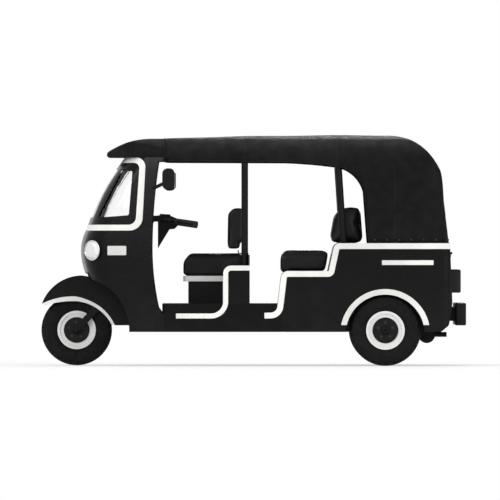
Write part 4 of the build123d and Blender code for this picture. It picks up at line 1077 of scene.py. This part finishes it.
def brake_pedal():
    """A pedal in the foot well: a bent arm and its plate."""
    arm_y = -0.13
    bends = [(0.80, 0.376), (0.79, 0.40), (0.745, 0.435), (0.735, 0.452)]
    bm = joined([rod([(x, arm_y, z) for x, z in bends], 0.007)])
    block(bm, (0.712, -0.162, 0.45), (0.756, -0.098, 0.458))
    dress(finished("brake_pedal", bm), chassis_paint, "body")


def hatch_handle():
    """A bowed pull handle at the foot of the engine hatch."""
    foot_x, bow_x, middle_x, half, z = -1.437, -1.462, -1.464, 0.05, 0.545
    line = [(foot_x, -half), (bow_x, -half), (middle_x, 0), (bow_x, half), (foot_x, half)]
    bm = joined([rod([(x, y, z) for x, y in line], 0.005)])
    dress(finished("hatch_handle", bm), blacked_steel, "hatch")


lamp_rims()
mirror_glasses()
coil_springs()
visor()
sill_joint_covers()
hood_buttons()
hood_corner_tabs()
hood_gussets()
hand_levers()
dial()
brake_pedal()
hatch_handle()


# Floor, backdrop and light
def seen_directly(tree):
    """One for rays from the camera, through glass or off a shiny surface."""
    path = tree.nodes.new("ShaderNodeLightPath")
    seen = path.outputs["Is Camera Ray"]
    for kind in ("Is Transmission Ray", "Is Glossy Ray"):
        either = tree.nodes.new("ShaderNodeMath")
        either.operation = "MAXIMUM"
        tree.links.new(seen, either.inputs[0])
        tree.links.new(path.outputs[kind], either.inputs[1])
        seen = either.outputs[0]
    return seen


def stage_surface():
    """Pale floor that keeps the shadow, fades into the white round it and hides from below."""
    f = Finish("studio_floor", (0.8, 0.8, 0.8), 0.9)
    white = f.add("ShaderNodeEmission")
    white.inputs["Color"].default_value = (1, 1, 1, 1)
    clear = f.add("ShaderNodeBsdfTransparent")
    away = f.add("ShaderNodeVectorMath", operation="LENGTH")
    f.feed(away.inputs[0], f.place)
    fade_from, fade_to = 1.9, 4.5
    under = f.add("ShaderNodeNewGeometry").outputs["Backfacing"]
    gone = f.math("MAXIMUM", f.steps(away.outputs["Value"], fade_from, fade_to), under)

    def mixed(share, first, second):
        node = f.add("ShaderNodeMixShader")
        for socket, value in zip(node.inputs, (share, first, second)):
            f.feed(socket, value)
        return node.outputs[0]

    lifted = f.math("MULTIPLY", seen_directly(f.tree), 0.5)
    lit = mixed(lifted, f.shader.outputs[0], white.outputs[0])
    f.feed(f.tree.nodes["Material Output"].inputs[0], mixed(gone, lit, clear.outputs[0]))
    return f.material


def stage_floor():
    bm = bmesh.new()
    bmesh.ops.create_circle(bm, cap_ends=True, segments=96, radius=5)
    floor = finished("studio_ground", bm)
    floor.data.materials.append(stage_surface())


def white_world():
    """Plain white to look at, and a softer white as light."""
    world = bpy.data.worlds.new("studio")
    world.use_nodes = True
    scene.world = world
    sky = world.node_tree
    back = sky.nodes["Background"]
    back.inputs["Color"].default_value = (1, 1, 1, 1)
    level = sky.nodes.new("ShaderNodeMapRange")
    sky.links.new(seen_directly(sky), level.inputs["Value"])
    level.inputs["To Min"].default_value = 0.45
    level.inputs["To Max"].default_value = 1.0
    sky.links.new(level.outputs["Result"], back.inputs["Strength"])


def soft_lamp(name, at, towards, size, power):
    data = bpy.data.lights.new(name, "AREA")
    data.shape = "RECTANGLE"
    data.size, data.size_y = size
    data.energy = power
    lamp = linked(name, data)
    lamp.location = at
    lamp.rotation_euler = (Vector(towards) - Vector(at)).to_track_quat("-Z", "Y").to_euler()


stage_floor()
white_world()
soft_lamp("overhead", (0, 0.5, 5.5), (0, 0, 0.8), (5, 3), 170)
soft_lamp("key", (3.5, 6.0, 3.2), (0, 0, 0.9), (3, 2), 150)
soft_lamp("fill", (-4.5, 5.5, 2.4), (0, 0, 0.8), (3, 2), 100)
soft_lamp("far_side", (-1.0, -6.0, 3.5), (0, 0, 0.8), (4, 2), 160)
